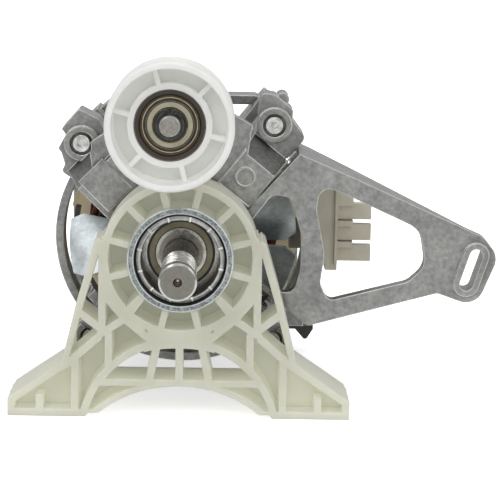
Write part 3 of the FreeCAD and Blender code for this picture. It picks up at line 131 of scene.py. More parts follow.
def noise(tree, place, scale, detail, rough=0.5):
    """Noise across a piece, as a number and as a colour."""
    return add_node(tree, "ShaderNodeTexNoise", {"Vector": place, "Scale": scale, "Detail": detail,
                                                 "Roughness": rough}).outputs


def softened(tree, radius):
    """The direction of the surface with its edges rounded off."""
    return add_node(tree, "ShaderNodeBevel", {"Radius": radius}, samples=6).outputs[0]


def shut_in(tree, reach):
    """How far a spot is shut in by what stands round it, 0 in the open and 1 in a corner."""
    openness = add_node(tree, "ShaderNodeAmbientOcclusion", {"Distance": reach}, samples=8).outputs["AO"]
    return reckon(tree, "SUBTRACT", 1.0, openness)


def dress(material, *names):
    """Gives CAD nodes a material."""
    for name in names:
        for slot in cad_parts[name].material_slots:
            slot.material = material


# Cloudy colour: two tones that drift into each other.
cloudy, given, result = new_group("cloudy colour", [
    ("Place", "Vector", None), ("Light", "Color", None), ("Dark", "Color", None),
    ("Size", "Float", 0.02), ("Balance", "Float", 0.5), ("Softness", "Float", 0.2)],
    [("Color", "Color"), ("Mask", "Float")])
drift = noise(cloudy, given["Place"], reckon(cloudy, "DIVIDE", 1.0, given["Size"]), 5.0, 0.62)[0]
low = reckon(cloudy, "SUBTRACT", given["Balance"], given["Softness"])
high = reckon(cloudy, "ADD", given["Balance"], given["Softness"])
share = spread(cloudy, drift, low, high)
cloudy.links.new(mix(cloudy, share, given["Light"], given["Dark"]), result["Color"])
cloudy.links.new(share, result["Mask"])

# Skin: a slight rounding of every edge with a fine grain on top.
skin, given, result = new_group("skin", [
    ("Place", "Vector", None), ("Rounding", "Float", 0.0004), ("Grain", "Float", 0.0006),
    ("Depth", "Float", 0.1)], [("Normal", "Vector")])
grain = noise(skin, given["Place"], reckon(skin, "DIVIDE", 1.0, given["Grain"]), 3.0, 0.6)[0]
grained = add_node(skin, "ShaderNodeBump", {"Strength": given["Depth"], "Distance": 0.0005, "Height": grain,
                                            "Normal": softened(skin, given["Rounding"])})
skin.links.new(grained.outputs[0], result["Normal"])

# Corner shade and dust: a mask that grows where two walls meet, in patches; painted shade, partly dust.
corner_shade_and_dust, given, result = new_group("corner shade and dust", [
    ("Place", "Vector", None), ("Reach", "Float", 0.006), ("Amount", "Float", 0.5)], [("Mask", "Float")])
patchy = noise(corner_shade_and_dust, given["Place"], 160.0, 3.0)[0]
broken = reckon(corner_shade_and_dust, "MULTIPLY", shut_in(corner_shade_and_dust, given["Reach"]), patchy)
dirt_and_shade = reckon(corner_shade_and_dust, "MULTIPLY", broken, given["Amount"], use_clamp=True)
corner_shade_and_dust.links.new(dirt_and_shade, result["Mask"])

# Painted pocket light: an emission in the pockets between thin pale walls, for the light they lead in.
painted_pocket_light, given, result = new_group("painted pocket light", [
    ("Light", "Color", None), ("Reach", "Float", 0.03), ("Amount", "Float", 0.5)], [("Color", "Color")])
amount = reckon(painted_pocket_light, "MULTIPLY", shut_in(painted_pocket_light, given["Reach"]), given["Amount"])
painted_pocket_light.links.new(mix(painted_pocket_light, amount, (0.0, 0.0, 0.0, 1.0), given["Light"]), result["Color"])


def drifting(tree, place, light, dark, **how):
    """Two tones that drift into each other on a finish, and the mask between them."""
    return use_group(tree, cloudy, Place=place, Light=light, Dark=dark, **how)


def shaded_dirty_corners(tree, place, top, dirt_and_shade, reach, amount):
    """The colour of a finish darkened in its corners by painted shade and grime."""
    corner_mask = use_group(tree, corner_shade_and_dust, Place=place, Reach=reach, Amount=amount)
    return mix(tree, corner_mask["Mask"], top, dirt_and_shade)


def grain_over(tree, shader, place, rounding, grain, depth):
    """Rounded edges and a fine grain on a finish; lengths in metres."""
    surface = use_group(tree, skin, Place=place, Rounding=rounding, Grain=grain, Depth=depth)
    tree.links.new(surface["Normal"], shader.inputs["Normal"])


def paint_light_in_pockets(tree, shader, light, reach, amount):
    """Painted light: an emission that brightens the pockets of a thin pale moulding."""
    glow = use_group(tree, painted_pocket_light, Light=light, Reach=reach, Amount=amount)
    tree.links.new(glow["Color"], shader.inputs["Emission Color"])
    shader.inputs["Emission Strength"].default_value = 1.0


def let_light_in(shader, share, tint, depth):
    """Light that enters the plastic and comes out again a little further on."""
    shader.inputs["Subsurface Weight"].default_value = share
    shader.inputs["Subsurface Radius"].default_value = tint
    shader.inputs["Subsurface Scale"].default_value = depth


seat_z, toes_z = -0.035, -0.06
glow_at_seat, glow_at_toes = 0.2, 0.33

nylon, tree, shader, place = new_finish("natural nylon", metal=0.0, rough=0.42)
shade = drifting(tree, place, colour(212, 212, 198), colour(198, 198, 182),
                 Size=0.03, Balance=0.5, Softness=0.25)
# Painted shade and dust darken the corners of the foot.
dusty_shaded = shaded_dirty_corners(tree, place, shade["Color"], colour(150, 146, 122), reach=0.004, amount=0.3)
tree.links.new(dusty_shaded, shader.inputs["Base Color"])
# Painted light: the pockets glow by emission, more towards the toes, for light from the floor.
height = add_node(tree, "ShaderNodeSeparateXYZ", {"Vector": place}).outputs["Z"]
paint_light_in_pockets(tree, shader, colour(191, 192, 180), reach=0.025,
              amount=spread(tree, height, seat_z, toes_z, glow_at_seat, glow_at_toes))
grain_over(tree, shader, place, rounding=0.0005, grain=0.0012, depth=0.1)
let_light_in(shader, share=0.6, tint=(1.0, 0.95, 0.75), depth=0.012)
dress(nylon, "front_foot")


# Steel ring of the foot
# Pressed from galvanised sheet. The zinc has frozen into flat crystals, each a slightly different grey.

def move(tree, operation, first, second):
    """One place or direction worked out from two."""
    return add_node(tree, "ShaderNodeVectorMath", {0: first, 1: second}, operation=operation).outputs[0]


crystal_edge = (0.0012, 0.0012, 0.0012)

crystals, given, result = new_group("zinc crystals", [
    ("Place", "Vector", None), ("Crystal", "Float", 0.004),
    ("Light", "Color", None), ("Dark", "Color", None)], [("Color", "Color"), ("Tone", "Float")])
ragged = noise(crystals, given["Place"], 700.0, 2.0)["Color"]
shaken = move(crystals, "MULTIPLY", ragged, crystal_edge)
per_metre = reckon(crystals, "DIVIDE", 1.0, given["Crystal"])
cells = add_node(crystals, "ShaderNodeTexVoronoi", {"Vector": move(crystals, "ADD", given["Place"], shaken),
                                                    "Scale": per_metre})
tone = add_node(crystals, "ShaderNodeSeparateColor", {"Color": cells.outputs["Color"]}).outputs
crystals.links.new(mix(crystals, tone[0], given["Light"], given["Dark"]), result["Color"])
crystals.links.new(tone[1], result["Tone"])

# Edge highlight and wear: a mask, white along sharp edges in patches; a painted highlight, partly wear.
edge_highlight_and_wear, given, result = new_group("edge highlight and wear", [
    ("Place", "Vector", None), ("Width", "Float", 0.0006), ("Amount", "Float", 1.0)], [("Mask", "Float")])
straight = edge_highlight_and_wear.nodes.new("ShaderNodeNewGeometry").outputs["Normal"]
alike = add_node(edge_highlight_and_wear, "ShaderNodeVectorMath", {0: softened(edge_highlight_and_wear, given["Width"]), 1: straight},
                 operation="DOT_PRODUCT").outputs["Value"]
lit_and_worn = noise(edge_highlight_and_wear, given["Place"], 260.0, 4.0)[0]
patchy_edges = reckon(edge_highlight_and_wear, "MULTIPLY", spread(edge_highlight_and_wear, alike, 0.99, 0.8), lit_and_worn)
edge_highlight_and_wear.links.new(reckon(edge_highlight_and_wear, "MULTIPLY", patchy_edges, given["Amount"], use_clamp=True), result["Mask"])

# Ring mask: white between two radii round an axis that runs along Y.
ring_mask, given, result = new_group("ring mask", [
    ("Place", "Vector", None), ("Centre", "Vector", None), ("Inner", "Float", 0.0), ("Outer", "Float", 0.01),
    ("Blur", "Float", 0.0001)], [("Mask", "Float")])
offset = move(ring_mask, "SUBTRACT", given["Place"], given["Centre"])
flat = move(ring_mask, "MULTIPLY", offset, (1.0, 0.0, 1.0))
radius = add_node(ring_mask, "ShaderNodeVectorMath", {0: flat}, operation="LENGTH").outputs["Value"]
sides = []
for limit, before, after in (("Inner", 0.0, 1.0), ("Outer", 1.0, 0.0)):
    past = reckon(ring_mask, "SUBTRACT", radius, given[limit])
    blurred = reckon(ring_mask, "DIVIDE", past, given["Blur"])
    sides.append(spread(ring_mask, blurred, -1.0, 1.0, before, after))
ring_mask.links.new(reckon(ring_mask, "MULTIPLY", sides[0], sides[1]), result["Mask"])


def highlight_worn_edges(tree, place, top, bright, width, amount):
    """The colour of a finish with its edges painted bright: a painted highlight, partly wear."""
    rub = use_group(tree, edge_highlight_and_wear, Place=place, Width=width, Amount=amount)
    return mix(tree, rub["Mask"], top, bright)


def vary_gloss(tree, shader, mask, low, high):
    """Roughness that drifts between two values."""
    tree.links.new(spread(tree, mask, 0.0, 1.0, low, high), shader.inputs["Roughness"])


def paint_rings(material, centre, end, *rings):
    """Rings of other colours in front of a plane across the axis; each has two radii and two tones."""
    tree = material.node_tree
    shader = tree.nodes["Principled BSDF"]
    place = add_node(tree, "ShaderNodeTexCoord").outputs["Object"]
    along = add_node(tree, "ShaderNodeSeparateXYZ", {"Vector": place}).outputs["Y"]
    facing = reckon(tree, "LESS_THAN", along, end)
    top = shader.inputs["Base Color"].links[0].from_socket
    for inner, outer, light, dark in rings:
        ring = use_group(tree, ring_mask, Place=place, Centre=centre, Inner=inner, Outer=outer, Blur=0.00008)
        shade = drifting(tree, place, light, dark, Size=0.002, Softness=0.3)
        top = mix(tree, reckon(tree, "MULTIPLY", ring["Mask"], facing), top, shade["Color"])
    tree.links.new(top, shader.inputs["Base Color"])
    return material


shaft_axis = (0.0, 0.0, 0.0)
ring_face_y = 0.003

galvanised, tree, shader, place = new_finish("galvanised sheet", metal=1.0, rough=0.4)
zinc = use_group(tree, crystals, Place=place, Crystal=0.0009,
                 Light=colour(164, 170, 169), Dark=colour(94, 100, 100))
lit_and_worn = highlight_worn_edges(tree, place, zinc["Color"], colour(234, 237, 236), width=0.0007, amount=1.6)
tree.links.new(lit_and_worn, shader.inputs["Base Color"])
vary_gloss(tree, shader, zinc["Tone"], 0.28, 0.5)
grain_over(tree, shader, place, rounding=0.0004, grain=0.0012, depth=0.08)
# Two thin pale rings near its outer and inner rims are painted highlights on those edges.
dress(paint_rings(galvanised, shaft_axis, ring_face_y,
                  (0.0249, 0.03, colour(232, 236, 236), colour(196, 201, 202)),
                  (0.0224, 0.0229, colour(214, 218, 218), colour(170, 175, 176))), "foot_ring")


# Rubber ring
# Black rubber, bonded between the steel ring and the hub so that the motor sits softly.

rubber, tree, shader, place = new_finish("black rubber", metal=0.0, rough=0.7)
shade = drifting(tree, place, colour(46, 45, 43), colour(28, 28, 28), Size=0.006)
tree.links.new(shade["Color"], shader.inputs["Base Color"])
grain_over(tree, shader, place, rounding=0.0003, grain=0.0005, depth=0.3)
dress(rubber, "damper_ring")


# Push-on ring and retaining rings
# Stamped from spring steel and sprung into place. The retaining rings are blued or plain. The push-on ring
# is painted dark along its edges as shade, and its tabs are painted bright as glints.


def steel(name, light, dark, rough, size, shine, grain):
    """A bare steel finish: two drifting tones, a painted highlight on the edges, partly wear, a fine grain.
    """
    material, tree, shader, place = new_finish(name, 1.0, rough)
    shade = drifting(tree, place, light, dark, Size=size)
    top = highlight_worn_edges(tree, place, shade["Color"], colour(235, 234, 230), width=0.0005, amount=shine)
    tree.links.new(top, shader.inputs["Base Color"])
    vary_gloss(tree, shader, shade["Mask"], rough - 0.06, rough + 0.1)
    grain_over(tree, shader, place, rounding=0.0003, grain=grain, depth=0.1)
    return material


dress(steel("blued ring", colour(72, 74, 78), colour(38, 40, 44),
            rough=0.3, size=0.004, shine=0.5, grain=0.0006), "wheel_ring")
dress(steel("plain ring", colour(138, 135, 126), colour(96, 93, 86),
            rough=0.3, size=0.004, shine=0.8, grain=0.0006), "shaft_ring")

star_steel, tree, shader, place = new_finish("bright spring steel", metal=1.0, rough=0.3)
shade = drifting(tree, place, colour(196, 198, 194), colour(150, 151, 147), Size=0.003)
# Outside the band between its radii the ring is painted dark: painted shade along its edges.
band = use_group(tree, ring_mask, Place=place, Inner=0.0192, Outer=0.0212, Blur=0.00015)
tree.links.new(mix(tree, band["Mask"], colour(58, 56, 52), shade["Color"]), shader.inputs["Base Color"])
grain_over(tree, shader, place, rounding=0.0003, grain=0.0006, depth=0.1)
dress(star_steel, "star_ring")

# The bent tabs between the slits of the push-on ring, one box each.
tab_count = 12
first_tab_angle = 17.0
tab_half_width = 0.0005
tip_radius, tip_y = 0.0189, 0.0018
root_radius, root_y = 0.0213, 0.0024
tab_back_y = 0.0032
box_faces = ((0, 1, 3, 2), (4, 6, 7, 5), (0, 4, 5, 1), (2, 3, 7, 6), (0, 2, 6, 4), (1, 5, 7, 3))

tab_corners = []
tab_faces = []
for index in range(tab_count):
    angle = math.radians(first_tab_angle + 360.0 / tab_count * index)
    outward = Vector((math.cos(angle), 0.0, math.sin(angle)))
    across = Vector((-math.sin(angle), 0.0, math.cos(angle)))
    start = len(tab_corners)
    for radius, front_y in ((tip_radius, tip_y), (root_radius, root_y)):
        for wide in (-tab_half_width, tab_half_width):
            for y in (front_y, tab_back_y):
                tab_corners.append(outward * radius + across * wide + Vector((0.0, y, 0.0)))
    tab_faces += [tuple(start + corner for corner in face) for face in box_faces]
tab_mesh = bpy.data.meshes.new("star_ring_tabs")
tab_mesh.from_pydata(tab_corners, [], tab_faces)
tabs = bpy.data.objects.new("star_ring_tabs", tab_mesh)
bpy.context.scene.collection.objects.link(tabs)
# The tabs are painted near-white: painted glints on the edges of the slits.
tab_mesh.materials.append(steel("rubbed tabs", colour(238, 238, 234), colour(206, 206, 202),
                                rough=0.22, size=0.002, shine=1.0, grain=0.0005))
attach(tabs, "motor")


# Front and rear shield
# Die cast aluminium, left as cast: a mottled grey skin with darker flow marks and a fine sandy grain.
# Painted highlights on the edges, partly wear; painted shade and soot in corners; painted shade in the bore.

bore_radius = 0.0192

cast_skin, tree, shader, place = new_finish("cast aluminium", metal=1.0, rough=0.45)
shade = drifting(tree, place, colour(174, 174, 170), colour(134, 134, 131),
                 Size=0.0022, Balance=0.5, Softness=0.25)
flow = drifting(tree, place, colour(255, 255, 255), colour(198, 201, 207),
                Size=0.018, Balance=0.52, Softness=0.25)
flowed = mix(tree, 1.0, shade["Color"], flow["Color"], blend_type="MULTIPLY")
# The bore of the hub is painted dark: painted shade inside it.
bore_shade = use_group(tree, ring_mask, Place=place, Inner=-1.0, Outer=bore_radius, Blur=0.0001)
lined = mix(tree, bore_shade["Mask"], flowed, colour(68, 67, 63))
# Painted shade and soot darken the corners.
sooty_shaded = shaded_dirty_corners(tree, place, lined, colour(60, 57, 51), reach=0.0035, amount=1.9)
lit_and_worn = highlight_worn_edges(tree, place, sooty_shaded, colour(240, 240, 236), width=0.001, amount=2.4)
tree.links.new(lit_and_worn, shader.inputs["Base Color"])
vary_gloss(tree, shader, shade["Mask"], 0.36, 0.5)
grain_over(tree, shader, place, rounding=0.0011, grain=0.0007, depth=0.3)
dress(cast_skin, "front_shield", "rear_shield")


# Stator and rotor stacks
# Several hundred sheets of electrical steel, varnished dark.
# The sheet edges show as fine lines across the shaft.

stack, tree, shader, place = new_finish("stacked sheets", metal=0.8, rough=0.5)
shade = drifting(tree, place, colour(96, 92, 88), colour(62, 60, 60), Size=0.01)
rust = drifting(tree, place, colour(118, 78, 50), colour(84, 82, 80), Size=0.03, Balance=0.4, Softness=0.08)
rusty = mix(tree, 0.35, shade["Color"], rust["Color"])
sheets = add_node(tree, "ShaderNodeTexWave",
                  {"Vector": place, "Scale": 160.0, "Distortion": 0.03, "Detail": 0.0},
                  wave_type="BANDS", bands_direction="Y").outputs
lined = mix(tree, 0.5, rusty, sheets[0], blend_type="OVERLAY")
tree.links.new(lined, shader.inputs["Base Color"])
ridges = add_node(tree, "ShaderNodeBump", {"Strength": 0.6, "Distance": 0.0003, "Height": sheets[1]})
tree.links.new(ridges.outputs[0], shader.inputs["Normal"])
dress(stack, "stator_core", "rotor_core")


# End windings
# Enamelled copper wire, wound in one run of bundled strands in four layers at each end of the stack,
# laced with waxed cord and dipped in brown varnish.

front_plate_y, rear_plate_y = 0.093, 0.147
winding_start = math.radians(200.0)
winding_inner = 0.0355
winding_pitch = 0.004
winding_clearance = 0.0031
turns_per_layer = 3
layers = 4
steps_per_turn = 40
strand_radius = 0.00050
strand_offset = 0.00102
strand_count = 6
strand_twist = 0.09
lead_bend = 0.0034
lead_steps = 6


def wire_place(turn):
    """Radius and layer of the wire after some turns; it spirals in and out, layer by layer."""
    layer = min(int(turn / turns_per_layer), layers - 1)
    within = turn - layer * turns_per_layer
    inward = within if layer % 2 == 0 else turns_per_layer - within
    climb = 0.0
    if within > turns_per_layer - 0.5 and layer < layers - 1:
        climb = within - turns_per_layer + 0.5
    if within < 0.5 and layer > 0:
        climb = within - 0.5
    return winding_inner + (turns_per_layer - inward) * winding_pitch, layer + climb


def eased(share):
    """A share from 0 to 1 with a slow start and a slow end."""
    return share * share * (3 - 2 * share)


def wire_run(plate, away):
    """Points along the wire of one end winding, from one lead to the other."""
    base = plate + away * (lead_bend + winding_clearance)
    last = base + away * winding_pitch * (layers - 1)
    outer = winding_inner + (turns_per_layer + 1) * winding_pitch
    quarter = steps_per_turn // 4
    run = []
    for index in range(quarter + 1):
        angle = winding_start - math.pi / 2 + math.pi / 2 * index / quarter
        run.append((outer - winding_pitch * eased(index / quarter), angle, base))
    for index in range(1, turns_per_layer * layers * steps_per_turn):
        radius, layer = wire_place(index / steps_per_turn)
        angle = winding_start + 2 * math.pi * index / steps_per_turn
        run.append((radius, angle, base + away * winding_pitch * layer))
    for index in range(quarter + 1):
        angle = winding_start + math.pi / 2 * index / quarter
        run.append((outer - winding_pitch * (1 - eased(index / quarter)), angle, last))
    points = [Vector((radius * math.cos(angle), y, radius * math.sin(angle))) for radius, angle, y in run]
    turn = lead_bend / outer
    leads = []
    for angle, side, y in ((run[0][1], -1, base), (run[-1][1], 1, last)):
        bend = []
        for index in range(1, lead_steps + 1):
            swing = math.pi / 2 * index / lead_steps
            along = angle + side * turn * math.sin(swing)
            back = y - away * lead_bend * (1 - math.cos(swing))
            bend.append(Vector((outer * math.cos(along), back, outer * math.sin(along))))
        bend.append(Vector((bend[-1].x, plate, bend[-1].z)))
        leads.append(bend)
    return list(reversed(leads[0])) + points + leads[1]


def strands(run):
    """A bundle of strands twisted round one run of points."""
    bundle = [list(run)]
    for strand in range(strand_count):
        line = []
        for index, here in enumerate(run):
            ahead = (run[min(index + 1, len(run) - 1)] - run[max(index - 1, 0)]).normalized()
            out = Vector((here.x, 0, here.z)).normalized()
            across = ahead.cross(out).normalized()
            out = across.cross(ahead)
            angle = 2 * math.pi * strand / strand_count + index * strand_twist
            line.append(here + (out * math.cos(angle) + across * math.sin(angle)) * strand_offset)
        bundle.append(line)
    return bundle


def wires(name, lines, radius):
    """Round wires along lines of points, as one piece."""
    curve = bpy.data.curves.new(name, "CURVE")
    curve.dimensions = "3D"
    curve.bevel_depth = radius
    curve.bevel_resolution = 1
    curve.use_fill_caps = True
    for line in lines:
        spline = curve.splines.new("POLY")
        spline.points.add(len(line) - 1)
        for point, where in zip(spline.points, line):
            point.co = (where.x, where.y, where.z, 1.0)
    piece = bpy.data.objects.new(name, curve)
    bpy.context.scene.collection.objects.link(piece)
    return piece


copper, tree, shader, place = new_finish("varnished copper", metal=0.75, rough=0.32)
shade = drifting(tree, place, colour(166, 76, 42), colour(100, 42, 24),
                 Size=0.012, Balance=0.5, Softness=0.15)
varnish = drifting(tree, place, colour(255, 255, 255), colour(120, 84, 60),
                   Size=0.03, Balance=0.55, Softness=0.1)
brown = mix(tree, 1.0, shade["Color"], varnish["Color"], blend_type="MULTIPLY")
tree.links.new(brown, shader.inputs["Base Color"])
shader.inputs["Coat Weight"].default_value = 0.6
shader.inputs["Coat Roughness"].default_value = 0.2

waxed, tree, shader, place = new_finish("waxed cord", metal=0.0, rough=0.6)
shade = drifting(tree, place, colour(206, 190, 156), colour(150, 124, 86), Size=0.004)
tree.links.new(shade["Color"], shader.inputs["Base Color"])
grain_over(tree, shader, place, rounding=0.0001, grain=0.0004, depth=0.5)

lacing_loops = 13
first_loop_angle = 14.0
loop_spacing = 27.0
lacing_stand_off = 0.0044
cord_radius = 0.00045
cord_bend = 0.0016
bend_steps = 3
bundle_half = 0.0021


def lacing(plate, away):
    """Loops of cord round the whole winding, evenly spaced but for the gap at its leads."""
    near = plate + away * lacing_stand_off
    far = plate + away * (lead_bend + winding_clearance + (layers - 1) * winding_pitch + bundle_half)
    inside = winding_inner - bundle_half + cord_bend
    outside = winding_inner + turns_per_layer * winding_pitch + bundle_half - cord_bend
    centres = ((outside, far - away * cord_bend), (inside, far - away * cord_bend),
               (inside, near + away * cord_bend), (outside, near + away * cord_bend))
    loops = []
    for index in range(lacing_loops):
        angle = winding_start + math.radians(first_loop_angle + loop_spacing * index)
        line = []
        for start, (x, y) in enumerate(centres):
            for step in range(bend_steps + 1):
                swing = math.pi / 2 * (start + step / bend_steps)
                radius = x + cord_bend * math.cos(swing)
                line.append(Vector((radius * math.cos(angle), y + away * cord_bend * math.sin(swing),
                                    radius * math.sin(angle))))
        line.append(line[0])
        loops.append(line)
    return loops


for end, plate, away in (("front", front_plate_y, -1), ("rear", rear_plate_y, 1)):
    bundle = wires(end + "_winding_wire", strands(wire_run(plate, away)), strand_radius)
    bundle.data.materials.append(copper)
    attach(bundle, "motor")
    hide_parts(end + "_winding")
    laced = wires(end + "_winding_lacing", lacing(plate, away), cord_radius)
    laced.data.materials.append(waxed)
    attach(laced, "motor")


# Slot wires
# The straight sides of the coils, packed side by side in each of the 24 slots.

slot_count = 24
slot_rows = 7
first_row_radius = 0.0324
row_pitch = 0.0019
tooth_half = 0.0023
wire_inset = 0.0012
wire_spacing = 0.0018
wire_radius = 0.00085
wire_front_y, wire_rear_y = 0.0892, 0.1508

slot_lines = []
for slot in range(slot_count):
    angle = 2 * math.pi * slot / slot_count
    for row in range(slot_rows):
        radius = first_row_radius + row_pitch * row
        half = math.pi * radius / slot_count - tooth_half - wire_inset
        across = max(1, int(2 * half / wire_spacing) + 1)
        for index in range(across):
            side = 0.0 if across == 1 else -half + 2 * half * index / (across - 1)
            x = radius * math.cos(angle) - side * math.sin(angle)
            z = radius * math.sin(angle) + side * math.cos(angle)
            slot_lines.append([Vector((x, wire_front_y, z)), Vector((x, wire_rear_y, z))])
slot_wire = wires("slot_wires", slot_lines, wire_radius)
slot_wire.data.materials.append(copper)
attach(slot_wire, "motor")
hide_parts("slot_bundles")


# End plates and terminal block
# The end plates are moulded in tan plastic, the block in a paler satin one, with tabs of tinned brass.


def moulded(name, light, dark, rough, dirt_and_shade, grain, glow=0.0):
    """A moulded plastic: two drifting tones, painted shade and dust in the corners, a fine grain
    and, if asked, painted light in its pockets.
    """
    material, tree, shader, place = new_finish(name, 0.0, rough)
    shade = drifting(tree, place, light, dark, Size=0.015)
    dusty_shaded = shaded_dirty_corners(tree, place, shade["Color"], colour(92, 78, 56), reach=0.004, amount=dirt_and_shade)
    tree.links.new(dusty_shaded, shader.inputs["Base Color"])
    grain_over(tree, shader, place, rounding=0.0004, grain=grain, depth=0.1)
    if glow > 0.0:
        paint_light_in_pockets(tree, shader, light, reach=0.03, amount=glow)
    return material


# The end plates get painted light in their pockets, where they lie in shadow.
dress(moulded("tan insulator", colour(230, 219, 188), colour(212, 199, 164),
              rough=0.5, dirt_and_shade=0.3, grain=0.0008, glow=0.25), "front_end_plate", "rear_end_plate")
dress(moulded("block plastic", colour(222, 216, 196), colour(206, 200, 180),
              rough=0.42, dirt_and_shade=0.7, grain=0.0008), "terminal_block")
dress(steel("tinned brass", colour(226, 224, 214), colour(190, 188, 178),
            rough=0.25, size=0.004, shine=1.0, grain=0.0008), "terminal_blades")


# Through bolts
# Zinc plated steel with round heads and a star socket, screwed through both shields.

dress(steel("zinc plate", colour(216, 216, 211), colour(152, 152, 149),
            rough=0.24, size=0.003, shine=1.4, grain=0.0005), "tie_bolts")


# Wire clip
# Black nylon, pegged up into the corner of the rear shield.

dress(moulded("black nylon", colour(52, 49, 43), colour(38, 36, 32),
              rough=0.45, dirt_and_shade=0.2, grain=0.0005), "wire_clip")


# Shaft and wheel pin
# Turned and ground steel. Fine turning marks run round it; painted shade and oil darken the grooves.

turned_lines, given, result = new_group("turned lines", [
    ("Place", "Vector", None), ("Pitch", "Float", 0.0002), ("Depth", "Float", 0.3)], [("Normal", "Vector")])
per_metre = reckon(turned_lines, "DIVIDE", 0.16, given["Pitch"])
cut = add_node(turned_lines, "ShaderNodeTexWave",
               {"Vector": given["Place"], "Scale": per_metre, "Distortion": 1.2, "Detail": 2.0},
               wave_type="BANDS", bands_direction="Y")
rounded = softened(turned_lines, 0.0003)
marked = add_node(turned_lines, "ShaderNodeBump", {"Strength": given["Depth"], "Distance": 0.0001,
                                                   "Height": cut.outputs[1], "Normal": rounded})
turned_lines.links.new(marked.outputs[0], result["Normal"])


def turned_steel(name, light, dark, rough, pitch, oil_and_shade, shine=0.8):
    """A turned steel finish: fine lines round the axis, painted shade and lubricant in the corners,
    and a painted highlight on the edges, partly wear.
    """
    material, tree, shader, place = new_finish(name, 1.0, rough)
    shade = drifting(tree, place, light, dark, Size=0.006)
    oily_shaded = shaded_dirty_corners(tree, place, shade["Color"], colour(52, 44, 34), reach=0.002, amount=oil_and_shade)
    lit_and_worn = highlight_worn_edges(tree, place, oily_shaded, colour(238, 237, 232), width=0.0004, amount=shine)
    tree.links.new(lit_and_worn, shader.inputs["Base Color"])
    vary_gloss(tree, shader, shade["Mask"], rough - 0.05, rough + 0.08)
    lines = use_group(tree, turned_lines, Place=place, Pitch=pitch, Depth=0.25)
    tree.links.new(lines["Normal"], shader.inputs["Normal"])
    return material


wheel_axis = (-0.0044, 0.0, 0.07)
nose_end_y = -0.0529
pin_end_y = -0.0485
ground_steel = turned_steel("ground steel", colour(206, 204, 198), colour(160, 158, 152),
                            rough=0.13, pitch=0.00018, oil_and_shade=0.5, shine=1.6)
# On the nose face, the ring at the rim is painted bright: a painted highlight on its chamfer.
dress(paint_rings(ground_steel, shaft_axis, nose_end_y,
                  (-1.0, 0.0078, colour(130, 129, 122), colour(104, 103, 97)),
                  (0.0081, 0.0095, colour(226, 226, 222), colour(184, 184, 180)),
                  (-1.0, 0.0021, colour(150, 104, 66), colour(84, 56, 34))), "shaft")
pin_steel = turned_steel("pin steel", colour(150, 148, 141), colour(110, 108, 102),
                         rough=0.3, pitch=0.00018, oil_and_shade=1.0, shine=1.0)
# The thin bright ring on the pin's face is a painted highlight on its edge.
dress(paint_rings(pin_steel, wheel_axis, pin_end_y,
                  (-1.0, 0.0060, colour(168, 166, 158), colour(104, 102, 97)),
                  (0.0040, 0.0046, colour(214, 213, 206), colour(170, 168, 160))), "wheel_pin")
dress(turned_steel("hub steel", colour(150, 148, 142), colour(112, 110, 104),
                   rough=0.35, pitch=0.0003, oil_and_shade=1.0), "fan_hub")


# Rotor cage and fan
# The cage rings are cast aluminium. The fan is pressed from galvanised sheet, a little wavy,
# and riveted to its hub.

dress(cast_skin, "rotor_cage")

fan_sheet, tree, shader, place = new_finish("fan sheet", metal=1.0, rough=0.4)
zinc = use_group(tree, crystals, Place=place, Crystal=0.0016,
                 Light=colour(198, 203, 204), Dark=colour(178, 184, 185))
# Painted shade: broad soft patches darken the blades at random, for the shade that falls on them.
painted_shade_patches = drifting(tree, place, colour(255, 255, 255), colour(186, 190, 192), Size=0.03, Softness=0.2)
shade_patched = mix(tree, 1.0, zinc["Color"], painted_shade_patches["Color"], blend_type="MULTIPLY")
lit_and_worn = highlight_worn_edges(tree, place, shade_patched, colour(240, 242, 242), width=0.0004, amount=1.2)
tree.links.new(lit_and_worn, shader.inputs["Base Color"])
rounded = use_group(tree, skin, Place=place, Rounding=0.0003, Grain=0.001, Depth=0.1)
waves = noise(tree, place, 38.0, 1.0)[0]
pressed = add_node(tree, "ShaderNodeBump", {"Strength": 0.9, "Distance": 0.006, "Height": waves,
                                            "Normal": rounded["Normal"]})
tree.links.new(pressed.outputs[0], shader.inputs["Normal"])
dress(fan_sheet, "fan")


# Idler wheel
# Moulded in white acetal, glossy from the mould, running on a dark sleeve; the two lighter rings in its
# face are painted highlights on the sleeve's edges.

acetal, tree, shader, place = new_finish("white acetal", metal=0.0, rough=0.32)
shade = drifting(tree, place, colour(229, 230, 227), colour(221, 222, 218), Size=0.02)
# Painted shade and dust darken the corners; painted light brightens the pockets.
dusty_shaded = shaded_dirty_corners(tree, place, shade["Color"], colour(186, 184, 174), reach=0.003, amount=0.25)
tree.links.new(dusty_shaded, shader.inputs["Base Color"])
paint_light_in_pockets(tree, shader, colour(214, 214, 208), reach=0.02, amount=0.15)
grain_over(tree, shader, place, rounding=0.0006, grain=0.002, depth=0.04)
let_light_in(shader, share=0.5, tint=(1.0, 0.98, 0.92), depth=0.008)
dress(acetal, "idler_wheel")

sleeve = moulded("dark sleeve", colour(46, 41, 34), colour(30, 27, 23), rough=0.35, dirt_and_shade=0.2, grain=0.0006)
# The two thin lighter rings are painted highlights on the sleeve's edges.
dress(paint_rings(sleeve, wheel_axis, 0.0,
                  (0.0131, 0.0134, colour(138, 108, 74), colour(84, 62, 42)),
                  (0.0158, 0.0161, colour(150, 122, 90), colour(84, 66, 48))), "wheel_sleeve")


# Ball bearings
# Ground rings and balls of bearing steel, pressed cages, and olive rubber seals on both sides.

dress(turned_steel("bearing steel", colour(186, 185, 179), colour(146, 144, 137),
                   rough=0.24, pitch=0.00025, oil_and_shade=0.9),
      *[end + "_bearing_" + part for end in ("front", "rear") for part in ("outer", "inner", "balls")])
wheel_bearing_steel = turned_steel("wheel bearing steel", colour(72, 68, 58), colour(46, 43, 37),
                                   rough=0.3, pitch=0.00025, oil_and_shade=1.0)
